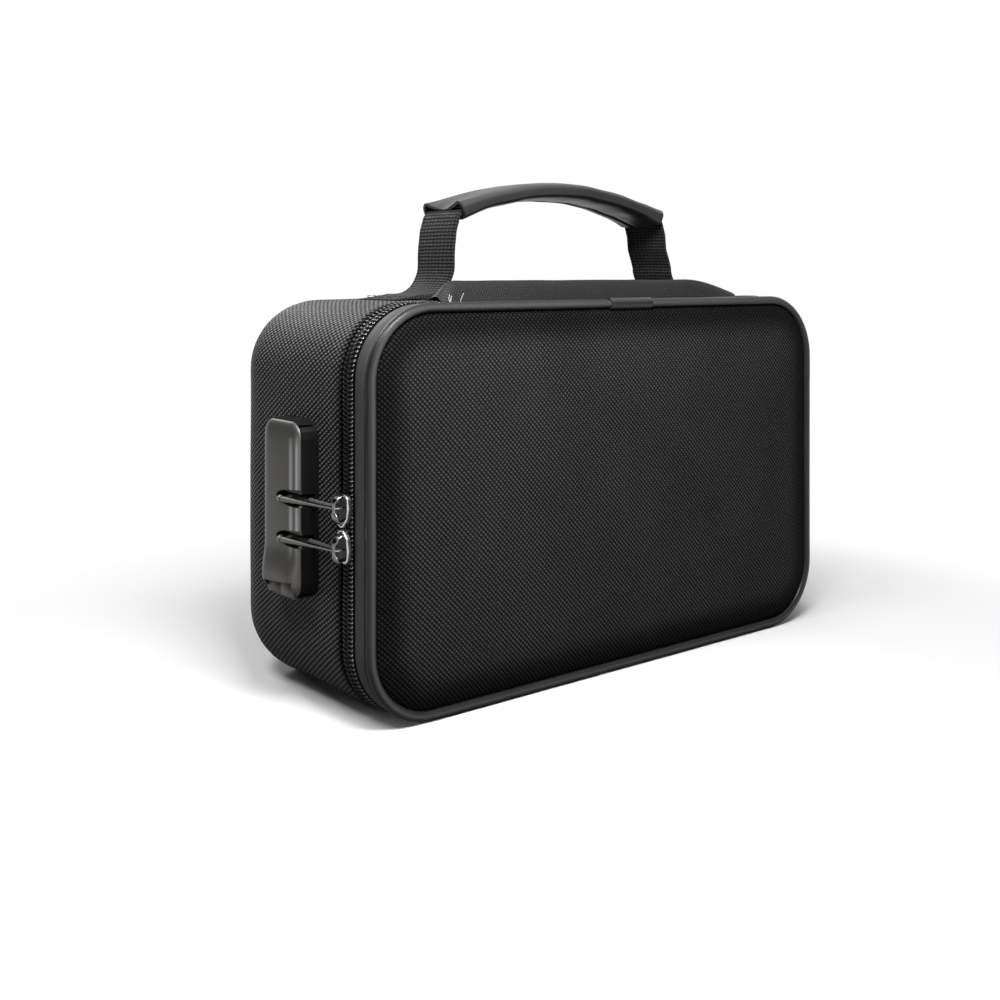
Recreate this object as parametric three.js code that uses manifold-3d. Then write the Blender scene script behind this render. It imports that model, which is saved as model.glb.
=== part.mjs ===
// Fireproof document bag: a moulded case in woven nylon with a zipped front lid.
// Millimetres. X is the width, Y the depth with the lid towards -Y, and Z is up.
// The origin is the middle of the case's base.
import * as THREE from 'three';
import { mergeVertices } from 'three/addons/utils/BufferGeometryUtils.js';
import Module from 'manifold-3d';

const wasm = await Module();
wasm.setup();

// Case
const CASE_W = 230;
const CASE_H = 140;
const CASE_D = 100;
const CORNER_R = 26; // corners of the outline seen from the front
const REAR_ROUND = 28; // rounding between the sides and the back
const INNER_CORNER_R = 10; // tightest corner of an inner outline
const CORNER_STEPS = 6;
const ROUND_STEPS = 6;
const GAP = 0.3; // air between touching layers

// Wall layers, from the outside in
const SHELL_T = 1.6;
const INSULATION_T = 3.0;
const LINING_T = 0.8;

// Depth of the lid's bands, from the front edge back
const PIPING_R = 1.8;
const PIPING_SIDES = 8;
const BINDING_W = 5.8;
const BINDING_T = 1.2;
const BINDING_INSET = 0.5;
const COIL_W = 6.2; // both halves together
const COIL_T = 1.6;
const COIL_ROUND = 0.5;
const COIL_GAP = 0.3; // between the two halves
const TAPE_T = 0.6;
const TAPE_SHOWN = 1.9; // tape seen between the coil and the rear shell
const TAPE_LAP = 6; // tape sewn inside the shell and inside the lid
const LID_WALL_T = 1.4;
const LID_EDGE_R = 1.8;
const ROUND_MIDDLE = 1 - Math.SQRT1_2; // inset of a quarter round's middle point
const CROWN = 2.8; // swell of the front panel
const CROWN_FLAT = 12; // half the height of the panel's flat middle
const CROWN_STEPS = 4;
const LID_LINING_STEP = 1.7;

// Sleeve that joins the two ends of the piping, on the top edge
const SLEEVE_X = 4.5;
const SLEEVE_L = 22;
const SLEEVE_CLEAR = 0.12;
const SLEEVE_T = 0.25;

// Fabric hinge
const HINGE_HALF = 78;
const HINGE_RISE = 6.4; // crest above the case's top
const HINGE_END_RISE = 1.6;
const HINGE_T = 1.0;
const HINGE_FOOT_T = 0.6; // where a leaf is sewn down
const HINGE_SHOULDER = 0.9; // steepest part of a leaf, in from its foot
const HINGE_FADE = 30; // length over which the crest falls at each end
const HINGE_LAP = 4.5;
const HINGE_STATIONS = 12;
const HINGE_SLIT = 0.5; // between the two leaves on the hinge line

// Zip sliders and pull loops
const SLIDER_L = 11.2;
const SLIDER_W = 9;
const SLIDER_NOSE_W = 2.6;
const SLIDER_FLARE_W = 8.1; // where the nose's curve turns outward
const SLIDER_FLARE_Z = 2.8;
const SLIDER_WIDE_Z = 6.7; // widest level, from the nose
const SLIDER_TAIL_W = 6.3;
const SLIDER_TAIL_Z = 10.1;
const SLIDER_CURVE_STEPS = 4;
const SLIDER_PLATE_T = 1.2;
const SLIDER_BACK_T = 0.8;
const SLIDER_MEET_Z = 65.9;
const SLIDER_MEET_GAP = 0.4;
const SLIDER_POST_W = 1.0;
const SLIDER_POST_L = 2.5;
const BRIDGE_FOOT_L = 1.6;
const BRIDGE_FOOT_W = 2.0;
const BRIDGE_BAR_R = 0.7;
const BRIDGE_END = 2.2; // first foot from the nose
const PULL_SEAT = 6.7; // loop from the slider's nose
const PULL_THIN_R = 0.6;
const PULL_THICK_R = 1.0;
const PULL_TIP_HALF = 3.0; // half the loop's width between wire centres at its tip
const PULL_L = 27; // between the centres of the loop's two bends
const PULL_LEAN = 2.3; // the tip's centre stands this much further out
const PULL_STEPS = 7;
const PULL_SIDES = 8;

// Lock body on the left side
const LOCK_H = 61;
const LOCK_BASE_Z = 38.7;
const LOCK_FROM_ZIP = 17.6; // front wall behind the zip's middle
const LOCK_W = 24.6;
const LOCK_PROUD = 8.6;
const LOCK_CORNER_R = 6;
const LOCK_CORNER_STEPS = 4;
const COVER_T = 1.6;
const COVER_EDGE_R = 1.4;
const COVER_EDGE_STEPS = 3;
const LOCK_WALL = 1.5;
const LOCK_FLOOR = 1.2;
const SLOT_H = 4.6;
const SLOT_WALL = 1.2;
const SLOT_CLEAR = 0.5; // loop to the slot's end and bottom
const HUMP_RISE = 1.8;
const HUMP_LEVEL = 4.5;
const HUMP_FADE = 8.5;
const HUMP_EDGE = 1.0;
const HUMP_STEPS = 4;

// Thumb slide and hasp bar
const SLIDE_W = 17.5;
const SLIDE_H = 6.1;
const SLIDE_T = 1.3;
const SLIDE_TRAVEL = 5.0;
const SLIDE_GROOVE = 0.5;
const BAR_T = 1.4;
const BAR_DEPTH = 4.0;
const ARM_T = 1.2;
const ARM_W = 2.6;
const PIN_R = 0.9;
const PIN_BORE_R = 1.15;
const PIN_INWARD = 1.1; // pin's axis inside the loop's middle
const PIN_BACK = 3.5; // pin's axis behind the lock's front wall
const PIN_TIP = 0.3; // retracted pin's tip above the slot's floor
const FINGER_T = 1.0;
const FINGER_W = 1.6;
const FINGER_REACH = 1.0;

// Number wheels
const WHEEL_COUNT = 3;
const WHEEL_R = 3.5;
const WHEEL_T = 3.4;
const WHEEL_PITCH = 6.6;
const WHEEL_PROUD = 1.0;
const WHEEL_CLEAR = 0.2; // wheel's rim to the lock's back
const WHEEL_NUMBERS = 10;
const WHEEL_SCALLOP = 0.25;
const SPINDLE_R = 0.95;
const SPINDLE_CLEAR = 0.3;
const LUG_T = 2.2;

// Fixings through the case's side
const PLATE_T = 1.5;
const PLATE_MARGIN = 2.5;
const PLATE_CORNER_R = 4;
const PLATE_CORNER_STEPS = 3;
const SCREW_R = 1.2;
const SCREW_BORE_R = 1.5;
const SCREW_HEAD_R = 2.8;
const SCREW_HEAD_T = 1.6;
const SCREW_DRIVE_R = 1.3;
const SCREW_TIP_CLEAR = 0.6; // tip to the end of its bore
const BOSS_R = 2.7;
const BOSS_L = 3;
const BOSS_CAP_T = 0.6; // metal past the end of the bore
const SCREW_BACK = 8; // behind the lock's front wall
const SCREW_END = 6.8; // from the lock's two ends

// Leaf spring that holds the slide at either end of its travel
const LEAF_T = 0.4;
const LEAF_L = 8;
const LEAF_W = 2.4;
const LEAF_BEND = 1.0;
const LEAF_RIB_T = 1.2; // rib that the spring leans on
const NOTCH_DEPTH = 0.5; // in the slide's tongue, for the spring's bend
const NOTCH_HALF = 0.9;

// Handle
const HANDLE_BACK = 24.4; // middle of the straps behind the rear shell's edge
const STRAP_W = 22;
const STRAP_T = 1.6;
const STRAP_EDGE_R = 0.7;
const STRAP_EDGE_STEPS = 2;
const STRAP_X = 57;
const STRAP_END_L = 20; // sewn flat on the case's top
const STRAP_BEND_R = 7;
const STRAP_BEND_STEPS = 4;
const GRIP_HALF = 53;
const GRIP_TOP = 45; // crown of the grip above the case's top
const GRIP_RISE = 8.7; // arch of the grip
const GRIP_W = 25;
const GRIP_H = 7;
const GRIP_ROUND = 3.2;
const GRIP_ROUND_STEPS = 4;
const GRIP_WALL = 1.2;
const GRIP_SLIT = 1.0;
const GRIP_SLIT_Y = 4; // slit in the underside, behind the middle
const GRIP_LIP = 0.3; // the wrap's edges turn down at the slit
const GRIP_STEPS = 12;
const CORE_W = 21.4;
const CORE_H = 3.6;
const CORE_R = 1.2;
const CORE_ROUND_STEPS = 2;
const STRAP_ENTRY = 3; // strap inside the grip's mouth

// Places worked out from the sizes above
const FRONT_Y = -CASE_D / 2;
const REAR_Y = CASE_D / 2;
const SIDE_X = -CASE_W / 2;
const PIPING_Y = FRONT_Y + PIPING_R;
const SLEEVE_R = PIPING_R + SLEEVE_CLEAR + SLEEVE_T;
const BINDING_Y = PIPING_Y + SLEEVE_R + SLEEVE_CLEAR;
const LID_EDGE_Y = BINDING_Y + BINDING_W;
const ZIP_Y = LID_EDGE_Y + GAP + COIL_W / 2;
const SHELL_EDGE_Y = ZIP_Y + COIL_W / 2 + TAPE_SHOWN;
const TAPE_INSET = BINDING_INSET + BINDING_T + GAP;
const COIL_INSET = TAPE_INSET - GAP - COIL_T;
const LID_WALL_INSET = TAPE_INSET + TAPE_T + GAP;
const SEAT_INSET = PIPING_R + SLEEVE_R + GAP;
const INSULATION_INSET = SHELL_T + GAP;
const LINING_INSET = INSULATION_INSET + INSULATION_T + GAP;
const HINGE_Y = (LID_EDGE_Y + SHELL_EDGE_Y) / 2;
const CROWN_REACH = CASE_H / 2 - CROWN_FLAT;

const nylon = { color: 0x1c1c1e, roughness: 0.85 };
const leatherette = { color: 0x202124, roughness: 0.45 };
const lockMetal = { color: 0x3c3c3e, roughness: 0.4, metalness: 0.6 };
const steel = { color: 0x9a9a9c, roughness: 0.3, metalness: 1 };
const wheelLook = { color: 0x26272a, roughness: 0.4 };
const padding = { color: 0x6f7174, roughness: 0.9 };
const liningLook = { color: 0xa8a9a8, roughness: 0.5, metalness: 0.4 };
const webbing = { color: 0x1b1b1d, roughness: 0.9 };

const bag = new THREE.Group();

function addMesh(parent, name, geometry, look) {
  const mesh = new THREE.Mesh(geometry, new THREE.MeshStandardMaterial(look));
  mesh.name = name;
  parent.add(mesh);
  return mesh;
}

// Joining and cutting
function solid(geometry) {
  const bare = geometry.clone();
  bare.deleteAttribute('normal');
  bare.deleteAttribute('uv');
  const merged = mergeVertices(bare, 1e-4);
  return new wasm.Manifold(new wasm.Mesh({
    numProp: 3,
    vertProperties: new Float32Array(merged.attributes.position.array),
    triVerts: new Uint32Array(merged.index.array),
  }));
}

function toGeometry(body) {
  const mesh = body.getMesh();
  const geometry = new THREE.BufferGeometry();
  geometry.setAttribute('position', new THREE.BufferAttribute(mesh.vertProperties, 3));
  geometry.setIndex(new THREE.BufferAttribute(mesh.triVerts, 1));
  return geometry;
}

function carve(start, added, removed) {
  let body = solid(start);
  for (const piece of added) body = body.add(solid(piece));
  for (const piece of removed) body = body.subtract(solid(piece));
  return toGeometry(body);
}

// A box between two corners
function block(x0, x1, y0, y1, z0, z1) {
  const geometry = new THREE.BoxGeometry(x1 - x0, y1 - y0, z1 - z0);
  return geometry.translate((x0 + x1) / 2, (y0 + y1) / 2, (z0 + z1) / 2);
}

function rodX(radius, x0, x1, y, z, sides = 12) {
  const geometry = new THREE.CylinderGeometry(radius, radius, x1 - x0, sides);
  return geometry.rotateZ(Math.PI / 2).translate((x0 + x1) / 2, y, z);
}

function rodZ(radius, x, y, z0, z1, sides = 12) {
  const geometry = new THREE.CylinderGeometry(radius, radius, z1 - z0, sides);
  return geometry.rotateX(Math.PI / 2).translate(x, y, (z0 + z1) / 2);
}

// Rounded rectangle as a list of [u, v], anticlockwise from the upper right corner
function outline(uLow, uHigh, vLow, vHigh, radius, steps = CORNER_STEPS) {
  const points = [];
  const centres = [
    [uHigh - radius, vHigh - radius],
    [uLow + radius, vHigh - radius],
    [uLow + radius, vLow + radius],
    [uHigh - radius, vLow + radius],
  ];
  centres.forEach(([u, v], corner) => {
    for (let i = 0; i <= steps; i += 1) {
      const angle = (Math.PI / 2) * (corner + i / steps);
      points.push([u + radius * Math.cos(angle), v + radius * Math.sin(angle)]);
    }
  });
  return points;
}

// A skin over rings of equal length: its ends are capped, or it closes on itself
function skin(rings, closed = false) {
  const count = rings[0].length;
  const positions = rings.flat().flatMap((p) => [p.x, p.y, p.z]);
  const index = [];
  const spans = closed ? rings.length : rings.length - 1;
  for (let r = 0; r < spans; r += 1) {
    const next = (r + 1) % rings.length;
    for (let i = 0; i < count; i += 1) {
      const j = (i + 1) % count;
      index.push(r * count + i, r * count + j, next * count + j);
      index.push(r * count + i, next * count + j, next * count + i);
    }
  }
  if (!closed) {
    const last = (rings.length - 1) * count;
    for (const [a, b, c] of capFaces(rings[0])) index.push(a, c, b);
    for (const [a, b, c] of capFaces(rings[rings.length - 1])) index.push(last + a, last + b, last + c);
  }
  const geometry = new THREE.BufferGeometry();
  geometry.setAttribute('position', new THREE.Float32BufferAttribute(positions, 3));
  geometry.setIndex(index);
  return facingOut(geometry);
}

// Triangles of a flat ring, seen along the axis it faces most, in the ring's own direction
function capFaces(ring) {
  const normal = new THREE.Vector3();
  ring.forEach((p, i) => normal.add(p.clone().cross(ring[(i + 1) % ring.length])));
  const [x, y, z] = normal.toArray().map(Math.abs);
  const axes = x > y && x > z ? ['y', 'z'] : y > z ? ['z', 'x'] : ['x', 'y'];
  const flat = ring.map((p) => new THREE.Vector2(p[axes[0]], p[axes[1]]));
  const turn = Math.sign(THREE.ShapeUtils.area(flat));
  return THREE.ShapeUtils.triangulateShape(flat, []).map(([a, b, c]) => (
    Math.sign(THREE.ShapeUtils.area([flat[a], flat[b], flat[c]])) === turn ? [a, b, c] : [a, c, b]
  ));
}

// Turns the faces over if the skin came out inside out
function facingOut(geometry) {
  const p = geometry.attributes.position;
  const index = geometry.index.array;
  const a = new THREE.Vector3();
  const b = new THREE.Vector3();
  const c = new THREE.Vector3();
  let volume = 0;
  for (let i = 0; i < index.length; i += 3) {
    a.fromBufferAttribute(p, index[i]);
    b.fromBufferAttribute(p, index[i + 1]);
    c.fromBufferAttribute(p, index[i + 2]);
    volume += a.dot(b.cross(c));
  }
  if (volume < 0) {
    for (let i = 0; i < index.length; i += 3) {
      [index[i], index[i + 1]] = [index[i + 1], index[i]];
    }
  }
  return geometry;
}

// The case's outline at a depth, drawn in by an inset all round
function caseRing(y, inset) {
  const radius = Math.max(CORNER_R - inset, INNER_CORNER_R);
  const half = CASE_W / 2 - inset;
  return outline(-half, half, inset, CASE_H - inset, radius).map(([x, z]) => new THREE.Vector3(x, y, z));
}

function caseSkin(profile, closed = false) {
  return skin(profile.map(([y, inset]) => caseRing(y, inset)), closed);
}

// Depth and inset of the rear shell's surface, a given distance in from the outside
function rearProfile(edgeY, inset) {
  const profile = [[edgeY, inset]];
  for (let i = 0; i <= ROUND_STEPS; i += 1) {
    const angle = (Math.PI / 2) * (i / ROUND_STEPS);
    const reach = REAR_ROUND - inset;
    profile.push([REAR_Y - REAR_ROUND + reach * Math.sin(angle), REAR_ROUND - reach * Math.cos(angle)]);
  }
  return profile;
}

// Round about the case from the hinge's left end, down and along the base, to its right end
function zipRoute(inset) {
  const radius = CORNER_R - inset;
  const half = CASE_W / 2 - inset;
  const start = new THREE.Vector3(-HINGE_HALF - GAP, 0, CASE_H - inset);
  const ring = outline(-half, half, inset, CASE_H - inset, radius);
  const arcs = ring.slice(CORNER_STEPS + 1).concat(ring.slice(0, CORNER_STEPS + 1));
  const end = new THREE.Vector3(HINGE_HALF + GAP, 0, CASE_H - inset);
  return [start, ...arcs.map(([x, z]) => new THREE.Vector3(x, 0, z)), end];
}

// A flat band that follows the zip's route between two insets and two depths
function zipBand(insetOut, insetIn, y0, y1) {
  const outer = zipRoute(insetOut);
  const inner = zipRoute(insetIn);
  return skin(outer.map((p, i) => [
    new THREE.Vector3(p.x, y0, p.z),
    new THREE.Vector3(p.x, y1, p.z),
    new THREE.Vector3(inner[i].x, y1, inner[i].z),
    new THREE.Vector3(inner[i].x, y0, inner[i].z),
  ]));
}

// One half of the zip's coil, rounded on its outer side
function coilHalf(y0, y1) {
  const profile = [
    [COIL_INSET + COIL_T, y0],
    [COIL_INSET + COIL_ROUND, y0],
    [COIL_INSET, (2 * y0 + y1) / 3],
    [COIL_INSET, (y0 + 2 * y1) / 3],
    [COIL_INSET + COIL_ROUND, y1],
    [COIL_INSET + COIL_T, y1],
  ];
  const routes = profile.map(([inset]) => zipRoute(inset));
  return skin(routes[0].map((unused, i) => profile.map(([, y], k) => {
    const p = routes[k][i];
    return new THREE.Vector3(p.x, y, p.z);
  })));
}

// The lock's own places
const LOCK_BACK_X = SIDE_X - GAP;
const LOCK_FACE_X = SIDE_X - LOCK_PROUD;
const LOCK_Y_FRONT = ZIP_Y + LOCK_FROM_ZIP;
const LOCK_Y_REAR = LOCK_Y_FRONT + LOCK_W;
const LOCK_TOP_Z = LOCK_BASE_Z + LOCK_H;
const COVER_BACK_X = LOCK_FACE_X + COVER_T;
const HOUSING_FACE_X = COVER_BACK_X + GAP;
const SLIDER_BASE_X = SIDE_X + COIL_INSET - GAP;
const PULL_AXIS_X = SLIDER_BASE_X - SLIDER_PLATE_T - 2 * (PULL_THIN_R + GAP) - BRIDGE_BAR_R;
const PULL_TIP_X = PULL_AXIS_X - PULL_LEAN;
const PULL_TIP_Y = ZIP_Y + PULL_L;
const PULL_THIN_HALF = BRIDGE_BAR_R + GAP + PULL_THIN_R;
const SLOT_INNER_X = PULL_TIP_X + PULL_TIP_HALF + PULL_THICK_R + SLOT_CLEAR;
const SLOT_END_Y = PULL_TIP_Y + PULL_TIP_HALF + PULL_THICK_R + SLOT_CLEAR;
const PULL_RISE = SLIDER_MEET_GAP / 2 + PULL_SEAT;
const PULL_LEVELS = [SLIDER_MEET_Z + PULL_RISE, SLIDER_MEET_Z - PULL_RISE];
const PIN_X = PULL_TIP_X + PIN_INWARD;
const PIN_Y = LOCK_Y_FRONT + PIN_BACK;
const WHEEL_X = LOCK_BACK_X - WHEEL_CLEAR - WHEEL_R;
const WHEEL_Y = LOCK_Y_REAR + WHEEL_PROUD - WHEEL_R;
const WHEEL_LEVELS = Array.from(
  { length: WHEEL_COUNT },
  (unused, i) => SLIDER_MEET_Z + (i - (WHEEL_COUNT - 1) / 2) * WHEEL_PITCH,
);
const SCREW_Y = LOCK_Y_FRONT + SCREW_BACK;
const SCREW_LEVELS = [LOCK_TOP_Z - SCREW_END, LOCK_BASE_Z + SCREW_END];
const PLATE_X = SIDE_X + LINING_INSET + LINING_T + GAP;

function screwBores(x0, x1) {
  return SCREW_LEVELS.map((z) => rodX(SCREW_BORE_R, x0, x1, SCREW_Y, z));
}

// Rear half: a fabric-faced shell, its insulation and its lining, all open to the front
function buildRear() {
  const sideBores = screwBores(SIDE_X - GAP, PLATE_X);
  const shell = caseSkin([
    ...rearProfile(SHELL_EDGE_Y, 0).reverse(),
    ...rearProfile(SHELL_EDGE_Y, SHELL_T),
  ]);
  addMesh(bag, 'rear_shell', carve(shell, [], sideBores), nylon);

  const lapY = SHELL_EDGE_Y + TAPE_LAP + GAP;
  const thin = TAPE_INSET + TAPE_T + GAP;
  const insulation = caseSkin([
    ...rearProfile(lapY, INSULATION_INSET).reverse(),
    [lapY, thin],
    [SHELL_EDGE_Y + GAP, thin],
    ...rearProfile(SHELL_EDGE_Y + GAP, INSULATION_INSET + INSULATION_T),
  ]);
  addMesh(bag, 'rear_insulation', carve(insulation, [], sideBores), padding);

  const lining = caseSkin([
    ...rearProfile(SHELL_EDGE_Y + GAP, LINING_INSET).reverse(),
    ...rearProfile(SHELL_EDGE_Y + GAP, LINING_INSET + LINING_T),
  ]);
  addMesh(bag, 'rear_lining', carve(lining, [], sideBores), liningLook);
}

// Depth and inset of the crowned front panel, a given distance in from the outside
function crownProfile(depth) {
  const profile = [];
  const faceY = FRONT_Y + depth;
  const first = SEAT_INSET + LID_EDGE_R;
  for (let i = 0; i <= CROWN_STEPS; i += 1) {
    const share = i / CROWN_STEPS;
    const inset = first + depth * (1 - share) + (CROWN_REACH - first) * share;
    profile.push([faceY - CROWN * (1 - (1 - share) ** 2), inset]);
  }
  return profile;
}

function buildLid() {
  const seatY = BINDING_Y;
  const edgeY = FRONT_Y + LID_EDGE_R;
  const outside = [
    [LID_EDGE_Y, LID_WALL_INSET],
    [seatY, LID_WALL_INSET],
    [seatY - GAP, SEAT_INSET],
    [edgeY, SEAT_INSET],
    [FRONT_Y + LID_EDGE_R * ROUND_MIDDLE, SEAT_INSET + LID_EDGE_R * ROUND_MIDDLE],
    ...crownProfile(0),
  ];
  const inside = [
    [LID_EDGE_Y, LID_WALL_INSET + LID_WALL_T],
    [seatY + LID_WALL_T, LID_WALL_INSET + LID_WALL_T],
    [seatY + LID_WALL_T - GAP, SEAT_INSET + LID_WALL_T],
    [edgeY, SEAT_INSET + LID_WALL_T],
    ...crownProfile(LID_WALL_T),
  ];
  addMesh(bag, 'front_shell', caseSkin([...outside.reverse(), ...inside]), nylon);

  const liningY = BINDING_Y + GAP;
  const padBack = liningY - GAP;
  const padInset = SEAT_INSET + LID_WALL_T + GAP;
  const pad = caseSkin([
    [padBack, padInset],
    [edgeY + GAP, padInset],
    ...crownProfile(LID_WALL_T + GAP),
  ]);
  addMesh(bag, 'front_insulation', pad, padding);

  const liningOut = LID_WALL_INSET + LID_WALL_T + GAP;
  const floorIn = liningOut + LID_LINING_STEP;
  const shoulderY = seatY + LID_WALL_T + GAP;
  const lining = caseSkin([
    [liningY, floorIn],
    [shoulderY, floorIn],
    [shoulderY, liningOut],
    [LID_EDGE_Y, liningOut],
    [LID_EDGE_Y, liningOut + LINING_T],
    [shoulderY + LINING_T, liningOut + LINING_T],
    [shoulderY + LINING_T, floorIn + LINING_T],
    [liningY + LINING_T, floorIn + LINING_T],
  ]);
  addMesh(bag, 'front_lining', lining, liningLook);

  const band = caseSkin([
    [BINDING_Y, BINDING_INSET],
    [LID_EDGE_Y, BINDING_INSET],
    [LID_EDGE_Y, BINDING_INSET + BINDING_T],
    [BINDING_Y, BINDING_INSET + BINDING_T],
  ], true);
  addMesh(bag, 'lid_binding', band, leatherette);

  const bead = [];
  for (let i = 0; i < PIPING_SIDES; i += 1) {
    const angle = (2 * Math.PI * i) / PIPING_SIDES;
    bead.push([PIPING_Y + PIPING_R * Math.sin(angle), PIPING_R - PIPING_R * Math.cos(angle)]);
  }
  addMesh(bag, 'lid_piping', caseSkin(bead, true), leatherette);
  addMesh(bag, 'piping_joint_sleeve', pipingSleeve(), leatherette);
}

// A short tube round the piping where its two ends meet
function pipingSleeve() {
  const inner = PIPING_R + SLEEVE_CLEAR;
  const ring = (radius, x) => Array.from({ length: PIPING_SIDES }, (unused, i) => {
    const angle = (2 * Math.PI * i) / PIPING_SIDES;
    const z = CASE_H - PIPING_R + radius * Math.cos(angle);
    return new THREE.Vector3(x, PIPING_Y + radius * Math.sin(angle), z);
  });
  const x0 = SLEEVE_X - SLEEVE_L / 2;
  const x1 = SLEEVE_X + SLEEVE_L / 2;
  return skin([ring(inner, x0), ring(SLEEVE_R, x0), ring(SLEEVE_R, x1), ring(inner, x1)], true);
}

// Zip: two tapes that each carry half of the coil, parted where a slider's post stands
function buildZip() {
  const posts = [1, -1].map((side) => {
    const nose = SLIDER_MEET_Z + (side * SLIDER_MEET_GAP) / 2;
    const far = nose + side * (SLIDER_POST_L + 2 * GAP);
    const halfW = SLIDER_POST_W / 2 + GAP;
    return block(
      SIDE_X - COIL_T, SIDE_X + LID_WALL_INSET, ZIP_Y - halfW, ZIP_Y + halfW,
      Math.min(nose, far), Math.max(nose, far),
    );
  });
  const tapeBack = TAPE_INSET + TAPE_T;
  const split = COIL_GAP / 2;
  const tapeLook = { color: 0x151517, roughness: 0.9 };
  const rearTape = zipBand(TAPE_INSET, tapeBack, ZIP_Y + split, SHELL_EDGE_Y + TAPE_LAP);
  addMesh(bag, 'zip_tape_rear', carve(rearTape, [], posts), tapeLook);
  const frontTape = zipBand(TAPE_INSET, tapeBack, LID_EDGE_Y - BINDING_W + GAP, ZIP_Y - split);
  addMesh(bag, 'zip_tape_front', carve(frontTape, [], posts), tapeLook);
  const coilLook = { color: 0x1a1a1c, roughness: 0.5 };
  const rearCoil = coilHalf(ZIP_Y + split, ZIP_Y + COIL_W / 2);
  addMesh(bag, 'zip_coil_rear', carve(rearCoil, [], posts), coilLook);
  const frontCoil = coilHalf(ZIP_Y - COIL_W / 2, ZIP_Y - split);
  addMesh(bag, 'zip_coil_front', carve(frontCoil, [], posts), coilLook);
}

// Fabric hinge: two leaves that rise to a soft crest, which is the line it folds on
function hingeLeaf(side) {
  const rings = [];
  for (let i = 0; i <= HINGE_STATIONS; i += 1) {
    const x = -HINGE_HALF + (2 * HINGE_HALF * i) / HINGE_STATIONS;
    const fade = Math.min(1, (HINGE_HALF - Math.abs(x)) / HINGE_FADE);
    const rise = HINGE_END_RISE + (HINGE_RISE - HINGE_END_RISE) * Math.sin((Math.PI / 2) * fade);
    const slit = (side * HINGE_SLIT) / 2;
    const footY = side > 0 ? SHELL_EDGE_Y : LID_EDGE_Y;
    const footZ = side > 0 ? CASE_H + GAP : CASE_H - TAPE_INSET - TAPE_T;
    const crestZ = CASE_H + rise;
    const shoulderY = footY - side * HINGE_SHOULDER;
    const under = [
      [footY + side * HINGE_LAP, footZ],
      [footY - side * GAP, footZ],
      [shoulderY - side * HINGE_T, (footZ + crestZ - HINGE_T) / 2],
      [HINGE_Y + slit, crestZ - HINGE_T],
    ];
    const over = [
      [HINGE_Y + slit, crestZ],
      [shoulderY, (footZ + crestZ) / 2 + HINGE_T],
      [footY - side * GAP, footZ + HINGE_FOOT_T],
      [footY + side * HINGE_LAP, footZ + HINGE_FOOT_T],
    ];
    rings.push([...under, ...over].map(([y, z]) => new THREE.Vector3(x, y, z)));
  }
  return skin(rings);
}

// Slider: a shield-shaped plate with a bridge, a post and a back plate, nose at z = 0
function sliderGeometry() {
  const top = SLIDER_BASE_X - SLIDER_PLATE_T;
  const half = SLIDER_W / 2;
  const nose = SLIDER_NOSE_W / 2;
  const flare = SLIDER_FLARE_W / 2;
  const tail = SLIDER_TAIL_W / 2;
  const shield = new THREE.Shape();
  shield.moveTo(-nose, 0);
  shield.lineTo(nose, 0);
  shield.quadraticCurveTo(flare, SLIDER_FLARE_Z, half, SLIDER_WIDE_Z);
  shield.quadraticCurveTo(half, SLIDER_TAIL_Z, tail, SLIDER_L);
  shield.lineTo(-tail, SLIDER_L);
  shield.quadraticCurveTo(-half, SLIDER_TAIL_Z, -half, SLIDER_WIDE_Z);
  shield.quadraticCurveTo(-flare, SLIDER_FLARE_Z, -nose, 0);
  const plate = new THREE.ExtrudeGeometry(shield, {
    depth: SLIDER_PLATE_T, bevelEnabled: false, curveSegments: SLIDER_CURVE_STEPS,
  });
  // The shape is drawn in y and z, and its thickness runs along x
  plate.applyMatrix4(new THREE.Matrix4().set(
    0, 0, 1, top,
    1, 0, 0, 0,
    0, 1, 0, 0,
    0, 0, 0, 1,
  ));
  const backX = SIDE_X + LID_WALL_INSET;
  const backHalf = COIL_W / 2;
  const footZ = [BRIDGE_END, PULL_SEAT * 2 - BRIDGE_END - BRIDGE_FOOT_L];
  const outerX = PULL_AXIS_X - BRIDGE_BAR_R;
  const feet = footZ.map((z) => block(
    outerX, top + GAP, -BRIDGE_FOOT_W / 2, BRIDGE_FOOT_W / 2, z, z + BRIDGE_FOOT_L,
  ));
  const bar = rodZ(BRIDGE_BAR_R, PULL_AXIS_X, 0, footZ[0] + GAP, footZ[1] + BRIDGE_FOOT_L - GAP, 10);
  const post = block(
    SLIDER_BASE_X - GAP, backX + GAP, -SLIDER_POST_W / 2, SLIDER_POST_W / 2, GAP, GAP + SLIDER_POST_L,
  );
  const back = block(backX, backX + SLIDER_BACK_T, -backHalf, backHalf, 0, SLIDER_L);
  return carve(plate, [...feet, bar, post, back], []);
}

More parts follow.
